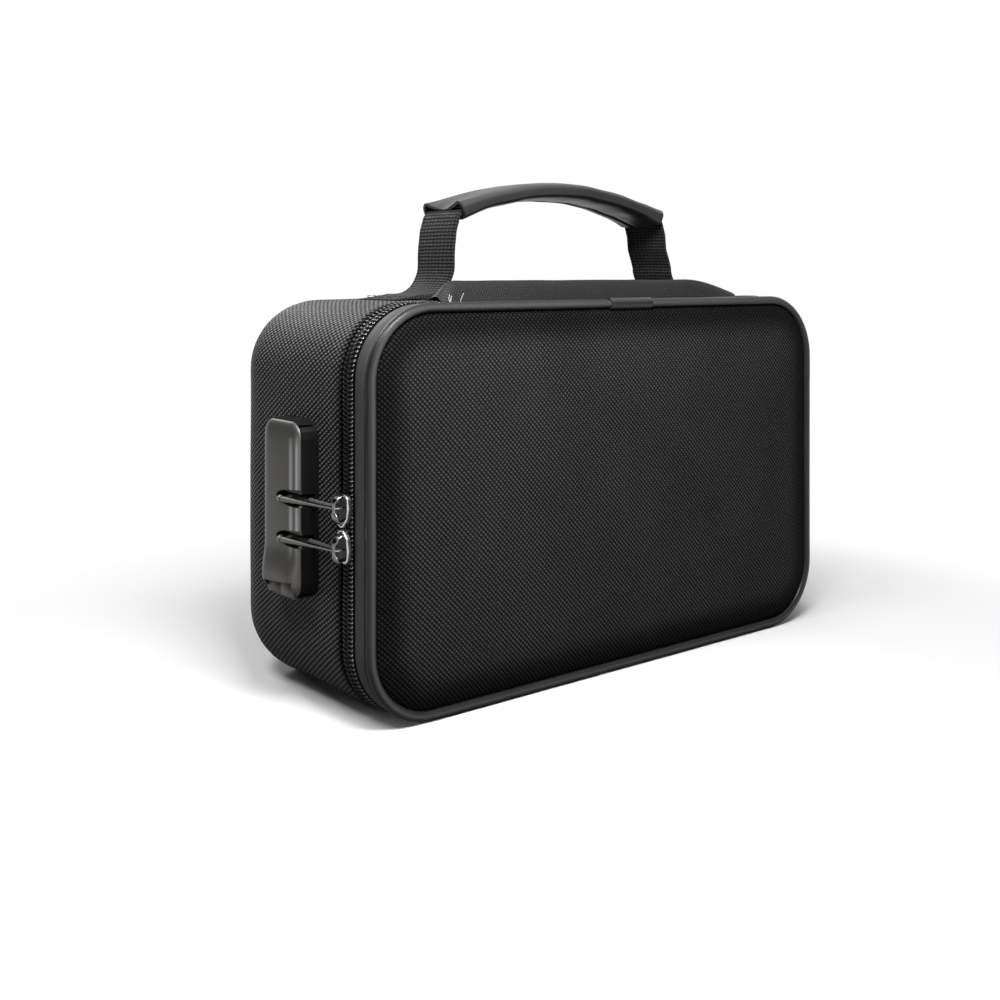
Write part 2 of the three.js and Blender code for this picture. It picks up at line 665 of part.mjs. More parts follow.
// Pull loop: a pear-shaped ring of tapered wire that turns about the bridge's bar at the origin
function pullGeometry() {
  const tip = new THREE.Vector2(-PULL_LEAN, PULL_L);
  const length = tip.length();
  const along = Math.atan2(tip.y, tip.x);
  const flare = Math.asin((PULL_TIP_HALF - PULL_THIN_HALF) / length);
  const centres = [];
  const bend = (cx, cy, radius, from, to) => {
    for (let i = 0; i <= PULL_STEPS; i += 1) {
      const angle = from + ((to - from) * i) / PULL_STEPS;
      centres.push([cx + radius * Math.cos(angle), cy + radius * Math.sin(angle)]);
    }
  };
  const side = Math.PI / 2 + flare;
  bend(tip.x, tip.y, PULL_TIP_HALF, along - side, along + side);
  bend(0, 0, PULL_THIN_HALF, along + side, along - side + 2 * Math.PI);
  const rings = centres.map(([x, y], i) => {
    const before = centres[(i + centres.length - 1) % centres.length];
    const after = centres[(i + 1) % centres.length];
    const out = new THREE.Vector2(after[1] - before[1], before[0] - after[0]).normalize();
    const share = THREE.MathUtils.clamp((x * tip.x + y * tip.y) / (length * length), 0, 1);
    const radius = PULL_THIN_R + (PULL_THICK_R - PULL_THIN_R) * share;
    return Array.from({ length: PULL_SIDES }, (unused, k) => {
      const angle = (2 * Math.PI * k) / PULL_SIDES;
      const reach = radius * Math.cos(angle);
      return new THREE.Vector3(x + out.x * reach, y + out.y * reach, radius * Math.sin(angle));
    });
  });
  return skin(rings, true);
}

// Rounded upright slab of the lock, from its back to its face, with a rounded outer edge
function lockSlab(xBack, xFace, edge) {
  const ring = (x, inset) => outline(
    LOCK_Y_FRONT + inset, LOCK_Y_REAR - inset, LOCK_BASE_Z + inset, LOCK_TOP_Z - inset,
    LOCK_CORNER_R - inset, LOCK_CORNER_STEPS,
  ).map(([y, z]) => new THREE.Vector3(x, y, z));
  if (edge === 0) return skin([ring(xBack, 0), ring(xFace, 0)]);
  const rings = [ring(xBack, 0)];
  for (let i = 0; i <= COVER_EDGE_STEPS; i += 1) {
    const angle = (Math.PI / 2) * (i / COVER_EDGE_STEPS);
    rings.push(ring(xFace + edge * (1 - Math.sin(angle)), edge * (1 - Math.cos(angle))));
  }
  return skin(rings);
}

function slotCuts(xFace) {
  return PULL_LEVELS.map((z) => block(
    xFace - HUMP_RISE - GAP, SLOT_INNER_X, LOCK_Y_FRONT - GAP, SLOT_END_Y, z - SLOT_H / 2, z + SLOT_H / 2,
  ));
}

// Room for each wheel, open through the lock's rear wall and its back
function wheelBays() {
  return WHEEL_LEVELS.map((z) => block(
    WHEEL_X - WHEEL_R - GAP, LOCK_BACK_X + GAP, WHEEL_Y - WHEEL_R - GAP, LOCK_Y_REAR + GAP,
    z - WHEEL_T / 2 - GAP, z + WHEEL_T / 2 + GAP,
  ));
}

const SLIDE_Y0 = LOCK_Y_FRONT + PIN_BACK - PIN_R;
const SLIDE_Y1 = SLIDE_Y0 + SLIDE_W;
const SLIDE_Z0 = LOCK_BASE_Z + GAP;
const SLIDE_Z1 = SLIDE_Z0 + SLIDE_H;
const BAR_Y1 = WHEEL_Y - WHEEL_R - FINGER_REACH;
const BAR_Y0 = BAR_Y1 - BAR_T;
const BLOCK_HALF = SLOT_H / 2 + SLOT_WALL;
const BOSS_X = LOCK_BACK_X - LOCK_FLOOR - BOSS_L;
const LEAF_Y = BAR_Y0 - GAP - LEAF_BEND - LEAF_T;
const LEAF_Z = LOCK_BASE_Z + LOCK_WALL + GAP;

function buildLock() {
  buildHousing();
  buildCover();
  buildSlide();
  buildWheels();
  buildFixings();
}

function buildHousing() {
  const hollow = block(
    HOUSING_FACE_X - GAP, LOCK_BACK_X - LOCK_FLOOR, LOCK_Y_FRONT + LOCK_WALL, LOCK_Y_REAR - LOCK_WALL,
    LOCK_BASE_Z + LOCK_WALL, LOCK_TOP_Z - LOCK_WALL,
  );
  const body = toGeometry(solid(lockSlab(LOCK_BACK_X, HOUSING_FACE_X, 0)).subtract(solid(hollow)));
  const slotBlocks = PULL_LEVELS.map((z) => block(
    HOUSING_FACE_X, LOCK_BACK_X, LOCK_Y_FRONT + LOCK_WALL / 2, SLOT_END_Y + SLOT_WALL,
    z - BLOCK_HALF, z + BLOCK_HALF,
  ));
  const wheelStack = (WHEEL_LEVELS[WHEEL_COUNT - 1] - WHEEL_LEVELS[0] + WHEEL_T) / 2;
  const lugs = [1, -1].map((side) => {
    const near = SLIDER_MEET_Z + side * (wheelStack + 2 * GAP + FINGER_T + GAP);
    const far = near + side * LUG_T;
    const half = SPINDLE_R + SPINDLE_CLEAR + SLOT_WALL;
    return block(
      WHEEL_X - half, WHEEL_X + half, WHEEL_Y - half, LOCK_Y_REAR - LOCK_WALL / 2,
      Math.min(near, far), Math.max(near, far),
    );
  });
  const bosses = SCREW_LEVELS.map((z) => rodX(BOSS_R, BOSS_X, LOCK_BACK_X - GAP, SCREW_Y, z));
  const leafRib = block(
    HOUSING_FACE_X + LEAF_T, LOCK_BACK_X - GAP, LEAF_Y - GAP - LEAF_RIB_T, LEAF_Y - GAP,
    LOCK_BASE_Z + LOCK_WALL - GAP, LEAF_Z + LEAF_L,
  );
  const pinBores = PULL_LEVELS.map((z) => rodZ(
    PIN_BORE_R, PIN_X, PIN_Y, z - BLOCK_HALF - GAP, z + BLOCK_HALF + GAP,
  ));
  const spindleBore = rodZ(
    SPINDLE_R + SPINDLE_CLEAR, WHEEL_X, WHEEL_Y, LOCK_BASE_Z + LOCK_WALL, LOCK_TOP_Z - LOCK_WALL,
  );
  const screws = screwBores(BOSS_X + BOSS_CAP_T, LOCK_BACK_X + GAP);
  const removed = [
    ...slotCuts(LOCK_FACE_X), ...wheelBays(), ...pinBores, spindleBore, ...screws,
  ];
  const added = [...slotBlocks, ...lugs, ...bosses, leafRib];
  addMesh(bag, 'lock_housing', carve(body, added, removed), lockMetal);
}

// Cover: a thin lid with a hump above the thumb slide, which passes under it
function buildCover() {
  const slab = lockSlab(COVER_BACK_X, LOCK_FACE_X, COVER_EDGE_R);
  const humpBase = SLIDE_Z1 + GAP;
  const rise = [];
  const level = humpBase + HUMP_LEVEL;
  rise.push([humpBase, HUMP_RISE], [level, HUMP_RISE]);
  for (let i = 1; i <= HUMP_STEPS; i += 1) {
    const share = i / HUMP_STEPS;
    rise.push([level + HUMP_FADE * share, (HUMP_RISE * (1 + Math.cos(Math.PI * share))) / 2]);
  }
  const hump = skin(rise.map(([z, height]) => {
    const x = LOCK_FACE_X - height;
    return [
      new THREE.Vector3(COVER_BACK_X - GAP, LOCK_Y_FRONT + GAP, z),
      new THREE.Vector3(x + HUMP_EDGE, LOCK_Y_FRONT + GAP, z),
      new THREE.Vector3(x, LOCK_Y_FRONT + COVER_EDGE_R, z),
      new THREE.Vector3(x, LOCK_Y_REAR - COVER_EDGE_R, z),
      new THREE.Vector3(x + HUMP_EDGE, LOCK_Y_REAR - GAP, z),
      new THREE.Vector3(COVER_BACK_X - GAP, LOCK_Y_REAR - GAP, z),
    ];
  }));
  const slideTop = SLIDE_Z1 + SLIDE_TRAVEL + GAP;
  const notch = block(
    LOCK_FACE_X - HUMP_RISE - GAP, COVER_BACK_X + GAP, SLIDE_Y0 - GAP, SLIDE_Y1 + GAP,
    LOCK_BASE_Z - GAP, SLIDE_Z1 + GAP,
  );
  const underHump = block(
    LOCK_FACE_X - GAP, COVER_BACK_X + GAP, SLIDE_Y0 - GAP, SLIDE_Y1 + GAP, LOCK_BASE_Z - GAP, slideTop,
  );
  const removed = [...slotCuts(LOCK_FACE_X), notch, underHump, ...wheelBays()];
  addMesh(bag, 'lock_cover', carve(slab, [hump], removed), lockMetal);
}

// Thumb slide and the hasp bar that it carries: two pins, and a finger for each wheel
function buildSlide() {
  const faceX = LOCK_FACE_X;
  const pad = block(faceX, faceX + SLIDE_T, SLIDE_Y0, SLIDE_Y1, SLIDE_Z0, SLIDE_Z1);
  const barX0 = WHEEL_X - BAR_DEPTH / 2;
  const barX1 = WHEEL_X + BAR_DEPTH / 2;
  const tongueZ0 = LOCK_BASE_Z + LOCK_WALL + GAP;
  const tongue = block(faceX + SLIDE_T / 2, barX1, BAR_Y0, BAR_Y1, tongueZ0, SLIDE_Z1);
  const middle = (SLIDE_Y0 + SLIDE_Y1) / 2;
  const groove = block(
    faceX - GAP, faceX + SLIDE_GROOVE, middle - SLIDE_GROOVE, middle + SLIDE_GROOVE,
    SLIDE_Z0 - GAP, SLIDE_Z1 + GAP,
  );
  const notchZ = LEAF_Z + LEAF_L / 2;
  const notch = block(
    faceX, barX1 + GAP, BAR_Y0 - GAP, BAR_Y0 + NOTCH_DEPTH, notchZ - NOTCH_HALF, notchZ + NOTCH_HALF,
  );
  notch.translate(SLIDE_T + GAP, 0, 0);
  addMesh(bag, 'thumb_slide', carve(pad, [tongue], [groove, notch]), lockMetal);

  const barTop = WHEEL_LEVELS[WHEEL_COUNT - 1];
  const plate = block(barX0, barX1, BAR_Y0, BAR_Y1, SLIDE_Z1 + GAP, barTop);
  const added = [];
  for (const z of PULL_LEVELS) {
    const armTop = z - BLOCK_HALF - GAP - SLIDE_TRAVEL;
    added.push(block(
      PIN_X - ARM_W / 2, PIN_X + ARM_W / 2, PIN_Y - PIN_R, BAR_Y0 + GAP, armTop - ARM_T, armTop,
    ));
    added.push(rodZ(PIN_R, PIN_X, PIN_Y, armTop - GAP, z - SLOT_H / 2 + PIN_TIP, 10));
  }
  for (const z of WHEEL_LEVELS) {
    const fingerTop = z - WHEEL_T / 2 - GAP;
    added.push(block(
      WHEEL_X - FINGER_W / 2, WHEEL_X + FINGER_W / 2, BAR_Y1 - GAP, WHEEL_Y - WHEEL_R + FINGER_REACH,
      fingerTop - FINGER_T, fingerTop,
    ));
  }
  addMesh(bag, 'hasp_bar', carve(plate, added, []), steel);

  const leaf = new THREE.Shape();
  leaf.moveTo(0, 0);
  leaf.lineTo(LEAF_BEND, LEAF_L / 2);
  leaf.lineTo(0, LEAF_L);
  leaf.lineTo(LEAF_T, LEAF_L);
  leaf.lineTo(LEAF_BEND + LEAF_T, LEAF_L / 2);
  leaf.lineTo(LEAF_T, 0);
  leaf.closePath();
  const spring = new THREE.ExtrudeGeometry(leaf, { depth: LEAF_W, bevelEnabled: false });
  spring.rotateX(Math.PI / 2).rotateZ(Math.PI / 2);
  spring.translate(HOUSING_FACE_X + LEAF_W, LEAF_Y, LEAF_Z);
  addMesh(bag, 'slide_detent_spring', spring, steel);
}

// Number wheels: ten shallow scallops for the thumb and one gate for the bar's finger
function wheelGeometry() {
  const rim = new THREE.Shape();
  for (let i = 0; i < WHEEL_NUMBERS * 3; i += 1) {
    const angle = (2 * Math.PI * i) / (WHEEL_NUMBERS * 3);
    const radius = i % 3 === 0 ? WHEEL_R - WHEEL_SCALLOP : WHEEL_R;
    const x = radius * Math.cos(angle);
    const y = radius * Math.sin(angle);
    if (i === 0) rim.moveTo(x, y);
    else rim.lineTo(x, y);
  }
  rim.closePath();
  const bore = new THREE.Path();
  bore.absarc(0, 0, SPINDLE_R + SPINDLE_CLEAR, 0, 2 * Math.PI, true);
  rim.holes.push(bore);
  const disc = new THREE.ExtrudeGeometry(rim, { depth: WHEEL_T, bevelEnabled: false, curveSegments: 8 });
  disc.translate(0, 0, -WHEEL_T / 2);
  const gate = block(
    -FINGER_W / 2 - GAP, FINGER_W / 2 + GAP, -WHEEL_R - GAP, -WHEEL_R + FINGER_REACH + GAP,
    -WHEEL_T, WHEEL_T,
  );
  return carve(disc, [], [gate]);
}

function buildWheels() {
  const shape = wheelGeometry();
  WHEEL_LEVELS.forEach((z, i) => {
    const wheel = addMesh(bag, `number_wheel_${i + 1}`, shape, wheelLook);
    wheel.position.set(WHEEL_X, WHEEL_Y, z);
  });
  const half = (WHEEL_LEVELS[WHEEL_COUNT - 1] - WHEEL_LEVELS[0] + WHEEL_T) / 2 + 3 * GAP + FINGER_T + LUG_T;
  const spindle = rodZ(SPINDLE_R, WHEEL_X, WHEEL_Y, SLIDER_MEET_Z - half, SLIDER_MEET_Z + half, 10);
  addMesh(bag, 'wheel_spindle', spindle, steel);
}

// Inner plate and screws that clamp the lock through the case's side
function buildFixings() {
  const plateOutline = outline(
    LOCK_Y_FRONT + PLATE_MARGIN, LOCK_Y_REAR - PLATE_MARGIN,
    LOCK_BASE_Z + PLATE_MARGIN, LOCK_TOP_Z - PLATE_MARGIN, PLATE_CORNER_R, PLATE_CORNER_STEPS,
  );
  const rings = [PLATE_X, PLATE_X + PLATE_T].map(
    (x) => plateOutline.map(([y, z]) => new THREE.Vector3(x, y, z)),
  );
  const bores = screwBores(PLATE_X - GAP, PLATE_X + PLATE_T + GAP);
  addMesh(bag, 'lock_back_plate', carve(skin(rings), [], bores), steel);

  const headX = PLATE_X + PLATE_T + GAP;
  const shank = rodX(SCREW_R, BOSS_X + BOSS_CAP_T + SCREW_TIP_CLEAR, headX + GAP, 0, 0);
  const head = rodX(SCREW_HEAD_R, headX, headX + SCREW_HEAD_T, 0, 0);
  const drive = rodX(SCREW_DRIVE_R, headX + SCREW_HEAD_T / 2, headX + SCREW_HEAD_T + GAP, 0, 0, 6);
  SCREW_LEVELS.forEach((z, i) => {
    const screw = addMesh(bag, `lock_screw_${i + 1}`, carve(shank, [head], [drive]), steel);
    screw.position.set(0, SCREW_Y, z);
  });
}

// A strip swept through the x and z plane: points along its middle, with its own width
function sweepStrip(route, section) {
  return skin(route.map((p, i) => {
    const before = route[Math.max(i - 1, 0)];
    const after = route[Math.min(i + 1, route.length - 1)];
    const along = new THREE.Vector2(after.x - before.x, after.y - before.y).normalize();
    return section.map(([across, up]) => new THREE.Vector3(p.x - along.y * up, across, p.y + along.x * up));
  }));
}

// Grip's arch in x and z, above the case's top
function archPoint(share) {
  const radius = (GRIP_HALF ** 2 + GRIP_RISE ** 2) / (2 * GRIP_RISE);
  const angle = Math.asin(GRIP_HALF / radius) * share;
  const crown = GRIP_TOP - GRIP_H / 2;
  return new THREE.Vector2(radius * Math.sin(angle), crown - radius * (1 - Math.cos(angle)));
}

function archRoute(reach) {
  const points = [];
  for (let i = 0; i <= GRIP_STEPS; i += 1) points.push(archPoint(reach * ((2 * i) / GRIP_STEPS - 1)));
  return points;
}

function buildHandle() {
  const handle = new THREE.Group();
  handle.position.set(0, SHELL_EDGE_Y + HANDLE_BACK, CASE_H);
  bag.add(handle);

  // The strap lies flat on the case, turns up through a bend and leans into the grip
  const layZ = GAP + STRAP_T / 2;
  const bendX = -STRAP_X - STRAP_BEND_R;
  const mouth = archPoint(-1);
  const entry = archPoint(-1 + STRAP_ENTRY / GRIP_HALF);
  const route = [new THREE.Vector2(-STRAP_X - STRAP_END_L, layZ)];
  for (let i = 0; i <= STRAP_BEND_STEPS; i += 1) {
    const angle = (Math.PI / 2) * (i / STRAP_BEND_STEPS);
    const x = bendX + STRAP_BEND_R * Math.sin(angle);
    route.push(new THREE.Vector2(x, layZ + STRAP_BEND_R * (1 - Math.cos(angle))));
  }
  route.push(new THREE.Vector2(-STRAP_X, mouth.y - 2 * STRAP_BEND_R));
  route.push(new THREE.Vector2(-STRAP_X + GRIP_WALL, mouth.y - STRAP_BEND_R));
  route.push(new THREE.Vector2(mouth.x - GRIP_WALL, mouth.y - GRIP_WALL));
  route.push(entry);
  const strip = outline(
    -STRAP_W / 2, STRAP_W / 2, -STRAP_T / 2, STRAP_T / 2, STRAP_EDGE_R, STRAP_EDGE_STEPS,
  );
  addMesh(handle, 'strap_left', sweepStrip(route, strip), webbing);
  const right = addMesh(handle, 'strap_right', sweepStrip(route, strip), webbing);
  right.rotation.z = Math.PI;

  // Wrap of the grip: a rolled sheet whose edges meet in a slit underneath
  const half = GRIP_W / 2;
  const wrapOut = outline(-half, half, -GRIP_H / 2, GRIP_H / 2, GRIP_ROUND, GRIP_ROUND_STEPS);
  const wall = GRIP_WALL;
  const innerH = GRIP_H / 2 - wall;
  const wrapIn = outline(-half + wall, half - wall, -innerH, innerH, GRIP_ROUND - wall, GRIP_ROUND_STEPS);
  const underside = 3 * (GRIP_ROUND_STEPS + 1);
  const lipZ = -GRIP_H / 2 - GRIP_LIP;
  const lipOut = [[GRIP_SLIT_Y - GRIP_SLIT / 2, lipZ], [GRIP_SLIT_Y + GRIP_SLIT / 2, lipZ]];
  const lipIn = lipOut.map(([y, z]) => [y, z + wall]);
  const section = [
    lipOut[1], ...wrapOut.slice(underside), ...wrapOut.slice(0, underside), lipOut[0],
    lipIn[0], ...wrapIn.slice(0, underside).reverse(), ...wrapIn.slice(underside).reverse(), lipIn[1],
  ];
  addMesh(handle, 'grip_cover', sweepStrip(archRoute(1), section), leatherette);

  const coreReach = 1 - (STRAP_ENTRY + GAP) / GRIP_HALF;
  const coreSection = outline(-CORE_W / 2, CORE_W / 2, -CORE_H / 2, CORE_H / 2, CORE_R, CORE_ROUND_STEPS);
  addMesh(handle, 'grip_core', sweepStrip(archRoute(coreReach), coreSection), webbing);
}

function buildSliders() {
  const slider = sliderGeometry();
  const pull = pullGeometry();
  const names = ['upper', 'lower'];
  names.forEach((name, i) => {
    const side = i === 0 ? 1 : -1;
    const body = addMesh(bag, `slider_${name}`, slider, lockMetal);
    body.position.set(0, ZIP_Y, SLIDER_MEET_Z + (side * SLIDER_MEET_GAP) / 2);
    body.rotation.x = i * Math.PI;
    const loop = addMesh(bag, `pull_${name}`, pull, steel);
    loop.position.set(PULL_AXIS_X, ZIP_Y, PULL_LEVELS[i]);
  });
}

buildRear();
buildLid();
buildZip();
const hingeLook = { color: 0x1f1f21, roughness: 0.85 };
addMesh(bag, 'hinge_gusset_rear', hingeLeaf(1), hingeLook);
addMesh(bag, 'hinge_gusset_front', hingeLeaf(-1), hingeLook);
buildSliders();
buildLock();
buildHandle();

export default bag;
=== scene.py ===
from bisect import bisect_right
from functools import partial
from math import asin, atan2, copysign, cos, degrees, exp, hypot, pi, radians, sin, sqrt

import bmesh
import bpy
from mathutils import Matrix, Vector, noise
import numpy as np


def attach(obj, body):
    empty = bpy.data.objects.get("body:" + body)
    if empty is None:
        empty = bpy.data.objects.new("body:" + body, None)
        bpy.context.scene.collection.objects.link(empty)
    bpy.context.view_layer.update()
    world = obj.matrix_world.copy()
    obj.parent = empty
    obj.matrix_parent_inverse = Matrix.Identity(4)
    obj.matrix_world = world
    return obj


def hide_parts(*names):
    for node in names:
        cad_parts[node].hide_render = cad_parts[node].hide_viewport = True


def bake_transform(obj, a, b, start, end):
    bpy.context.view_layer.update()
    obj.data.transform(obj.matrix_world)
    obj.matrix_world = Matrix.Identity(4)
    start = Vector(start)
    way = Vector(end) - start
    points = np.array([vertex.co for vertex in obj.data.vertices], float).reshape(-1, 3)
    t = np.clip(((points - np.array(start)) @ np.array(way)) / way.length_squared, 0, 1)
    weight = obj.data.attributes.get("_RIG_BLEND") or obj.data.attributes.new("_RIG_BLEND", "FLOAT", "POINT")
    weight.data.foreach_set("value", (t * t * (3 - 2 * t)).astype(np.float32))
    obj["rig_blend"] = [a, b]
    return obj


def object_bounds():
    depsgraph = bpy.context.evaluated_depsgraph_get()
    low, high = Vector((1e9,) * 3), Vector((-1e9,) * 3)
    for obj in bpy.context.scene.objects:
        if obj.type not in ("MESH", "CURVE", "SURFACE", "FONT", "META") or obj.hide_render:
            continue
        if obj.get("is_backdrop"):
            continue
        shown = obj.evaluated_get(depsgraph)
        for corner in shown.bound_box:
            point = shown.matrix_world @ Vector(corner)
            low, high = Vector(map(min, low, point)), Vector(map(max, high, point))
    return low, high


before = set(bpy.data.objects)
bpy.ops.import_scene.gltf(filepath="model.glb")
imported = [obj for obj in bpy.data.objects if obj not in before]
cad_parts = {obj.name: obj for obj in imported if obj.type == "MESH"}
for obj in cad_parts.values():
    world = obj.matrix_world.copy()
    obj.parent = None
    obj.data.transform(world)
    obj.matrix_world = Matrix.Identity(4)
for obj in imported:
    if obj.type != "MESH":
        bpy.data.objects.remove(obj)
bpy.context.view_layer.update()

# Camera
# It stands level with the top of the bag, 40 cm off its front left edge. The lens is shifted down,
# so that upright edges stay upright, as in a product photograph.
lens = bpy.data.cameras.new("camera")
lens.lens = 45.83
lens.sensor_width = 36
lens.shift_y = -0.2272
lens.clip_start = 0.01
lens.clip_end = 20
camera = bpy.data.objects.new("camera", lens)
camera.location = (-0.3421, -0.3927, 0.1499)
camera.rotation_euler = (radians(90), 0, radians(-39.39))
bpy.context.scene.collection.objects.link(camera)
bpy.context.scene.camera = camera
bpy.context.scene.view_settings.view_transform = "Standard"


# Rear shell
# A moulded half case of felt, faced with black woven nylon that is stretched over its round edges.
# The cloth turns in over the front edge, where the zip tape is sewn. Sizes are in millimetres.
HALF_W = 115
HALF_H = 70
CORNER = 26
TIGHTEST = 10
INNERMOST = 57
CORE_X = HALF_W - CORNER
CORE_Z = HALF_H - CORNER
REAR_Y = 50
REAR_ROUND = 28
ROUND_Y = REAR_Y - REAR_ROUND
SHELL_EDGE_Y = -31.71
SHELL_T = 1.6
RING_GAP = 4.13
SEAM_FADE = 1.6
TOP_ARC = 40.25
BOTTOM_ARC = 41.75
WEAVE_START = 42


def move(bm, way, verts=None):
    """Moves points, or the whole mesh."""
    bmesh.ops.translate(bm, vec=way, verts=bm.verts if verts is None else verts)


def stretch(bm, by, verts=None):
    """Scales points, or the whole mesh, along the three axes."""
    bmesh.ops.scale(bm, vec=by, verts=bm.verts if verts is None else verts)


def turn_about(bm, axis, angle, verts=None):
    """Turns points, or the whole mesh, about an axis through the origin."""
    matrix = Matrix.Rotation(radians(angle), 3, axis)
    bmesh.ops.rotate(bm, cent=(0, 0, 0), matrix=matrix, verts=bm.verts if verts is None else verts)


def round_edges(bm, geom, offset, segments, affect="EDGES"):
    """Rounds edges, or the corners of a flat outline."""
    bmesh.ops.bevel(
        bm, geom=geom, offset=offset, offset_type="OFFSET", segments=segments, profile=0.5,
        affect=affect, material=-1,
    )


def face_out(bm):
    """Turns every face outward."""
    bmesh.ops.recalc_face_normals(bm, faces=bm.faces)


def fill(bm, geom):
    """Closes a ring of edges or points with a face."""
    bmesh.ops.contextual_create(bm, geom=geom)


def thicken(bm, thickness):
    """Gives a sheet its thickness."""
    bmesh.ops.solidify(bm, geom=bm.faces[:], thickness=thickness)


def merge(bm, distance):
    """Joins the points that lie closer than a distance."""
    bmesh.ops.remove_doubles(bm, verts=bm.verts, dist=distance)


def grid(width, height, across=1, up=1):
    """A flat grid round the origin."""
    bm = bmesh.new()
    bmesh.ops.create_grid(bm, x_segments=across, y_segments=up, size=0.5)
    stretch(bm, (width, height, 1))
    return bm


def clamped(value):
    """A share held between none and all."""
    return min(1, max(0, value))


def eased(share):
    return 3 * share ** 2 - 2 * share ** 3


def hill(x, middle, width):
    """A smooth rise to 1 at the middle."""
    return exp(-((x - middle) / width) ** 2)


def rounded_loop(half_x, half_y, corner, corner_steps, cuts):
    """A flat loop of edges round a rectangle with round corners. The cuts divide its long and short sides."""
    bm = grid(2 * half_x, 2 * half_y)
    round_edges(bm, bm.verts[:], corner, corner_steps, "VERTICES")
    bmesh.ops.delete(bm, geom=bm.faces[:], context="FACES_ONLY")
    for axis, count in enumerate(cuts):
        straight = [e for e in bm.edges if abs(e.verts[0].co[axis] - e.verts[1].co[axis]) > corner]
        bmesh.ops.subdivide_edges(bm, edges=straight, cuts=count)
    return bm


def outline(spacing=4.0, corner_steps=14):
    """A loop of edges that follows the case's outline. Each point keeps its place on the straight core
    and its direction out of it, so that the loop can be drawn in without losing its round corners."""
    cuts = [2 * round(length / spacing / 2) - 1 for length in (2 * CORE_X, 2 * CORE_Z)]
    bm = rounded_loop(HALF_W, HALF_H, CORNER, corner_steps, cuts)
    turn_about(bm, "X", 90)
    core = bm.verts.layers.float_vector.new("core")
    out = bm.verts.layers.float_vector.new("out")
    bm.verts.layers.float.new("run")
    for v in bm.verts:
        v[core] = Vector((max(-CORE_X, min(CORE_X, v.co.x)), 0, max(-CORE_Z, min(CORE_Z, v.co.z))))
        v[out] = (v.co - v[core]) / CORNER
    return bm


def draw_in(bm, verts, depth, inset, run=0.0):
    """Sets a ring of the outline at a depth, drawn in by an inset all round."""
    core = bm.verts.layers.float_vector["core"]
    out = bm.verts.layers.float_vector["out"]
    along = bm.verts.layers.float["run"]
    radius = max(CORNER - inset, TIGHTEST)
    shrink = inset + radius - CORNER
    for v in verts:
        x = v[core].x * (1 - shrink / CORE_X) + v[out].x * radius
        z = v[core].z * (1 - shrink / CORE_Z) + v[out].z * radius
        v.co = (x, depth, HALF_H + z)
        v[along] = run


def first_ring(place, spacing=4.0, corner_steps=14):
    """The outline at the depth and inset where a loft begins, and its ring of edges."""
    bm = outline(spacing, corner_steps)
    draw_in(bm, bm.verts, *place)
    return bm, bm.edges[:]


def grow(bm, edges):
    """Extrudes a ring of edges where it lies, and gives the new points and the new ring."""
    grown = bmesh.ops.extrude_edge_only(bm, edges=edges)["geom"]
    verts = [g for g in grown if isinstance(g, bmesh.types.BMVert)]
    new = set(verts)
    return verts, [g for g in grown if isinstance(g, bmesh.types.BMEdge) and new.issuperset(g.verts)]


def loft(bm, ring, profile, start):
    """Carries a ring through each depth and inset of a profile, and gives the last ring and its run."""
    (depth, inset), run = start
    for new_depth, new_inset in profile:
        run += hypot(new_depth - depth, new_inset - inset)
        depth, inset = new_depth, new_inset
        verts, ring = grow(bm, ring)
        draw_in(bm, verts, depth, inset, run)
    return ring, run


def quarter(depth0, inset0, depth1, inset1, steps, turn="out"):
    """Points of a quarter round between two depths and insets, without the first."""
    points = []
    for i in range(1, steps + 1):
        a = pi / 2 * i / steps
        s, c = sin(a), 1 - cos(a)
        if turn == "out":
            s, c = c, s
        points.append((depth0 + (depth1 - depth0) * s, inset0 + (inset1 - inset0) * c))
    return points


def round_the_case(v, core, out, side):
    """Distance round the case from the middle of its top, counted so that the weave meets underneath."""
    turn = atan2(abs(v[out].x), v[out].z) / (pi / 2)
    down = min(turn, 1)
    under = max(turn - 1, 0)
    x = v[core].x * side
    distance = (x if under < 0.001 else CORE_X) + TOP_ARC * down + CORE_Z - v[core].z
    distance += BOTTOM_ARC * under
    if under > 0.999:
        distance += CORE_X - x
    return side * distance


def lay_weave(bm, along_share=1.0, facing=1.1):
    """The weave's own map in millimetres: straight on the flat panel, and round the case on its side.
    On the side the threads across lie further apart, by the share. A face that looks forward or back
    by more than facing counts as flat."""
    uv = bm.loops.layers.uv.new("weave")
    core = bm.verts.layers.float_vector["core"]
    out = bm.verts.layers.float_vector["out"]
    along = bm.verts.layers.float["run"]
    for face in bm.faces:
        side = 1 if face.calc_center_median().x > 0 else -1
        flat = all(v[along] <= 0 for v in face.verts) or abs(face.normal.y) > facing
        for loop in face.loops:
            v = loop.vert
            if flat:
                loop[uv].uv = (v.co.x, v.co.z - HALF_H)
            else:
                loop[uv].uv = (round_the_case(v, core, out, side), WEAVE_START - v[along] * along_share)


def face_along(bm, axis, sign):
    """Turns an open sheet so that it faces along an axis, forwards or backwards."""
    face_out(bm)
    bm.normal_update()
    if sign * sum(f.normal[axis] * f.calc_area() for f in bm.faces) < 0:
        bmesh.ops.reverse_faces(bm, faces=bm.faces)


def soften(verts, height, size, seed=0.0):
    """Pushes points a little in and out, as cloth over felt lies."""
    for v in verts:
        p = v.co / size + Vector((seed, seed * 1.7, -seed))
        v.co += v.normal * height * noise.noise(p)


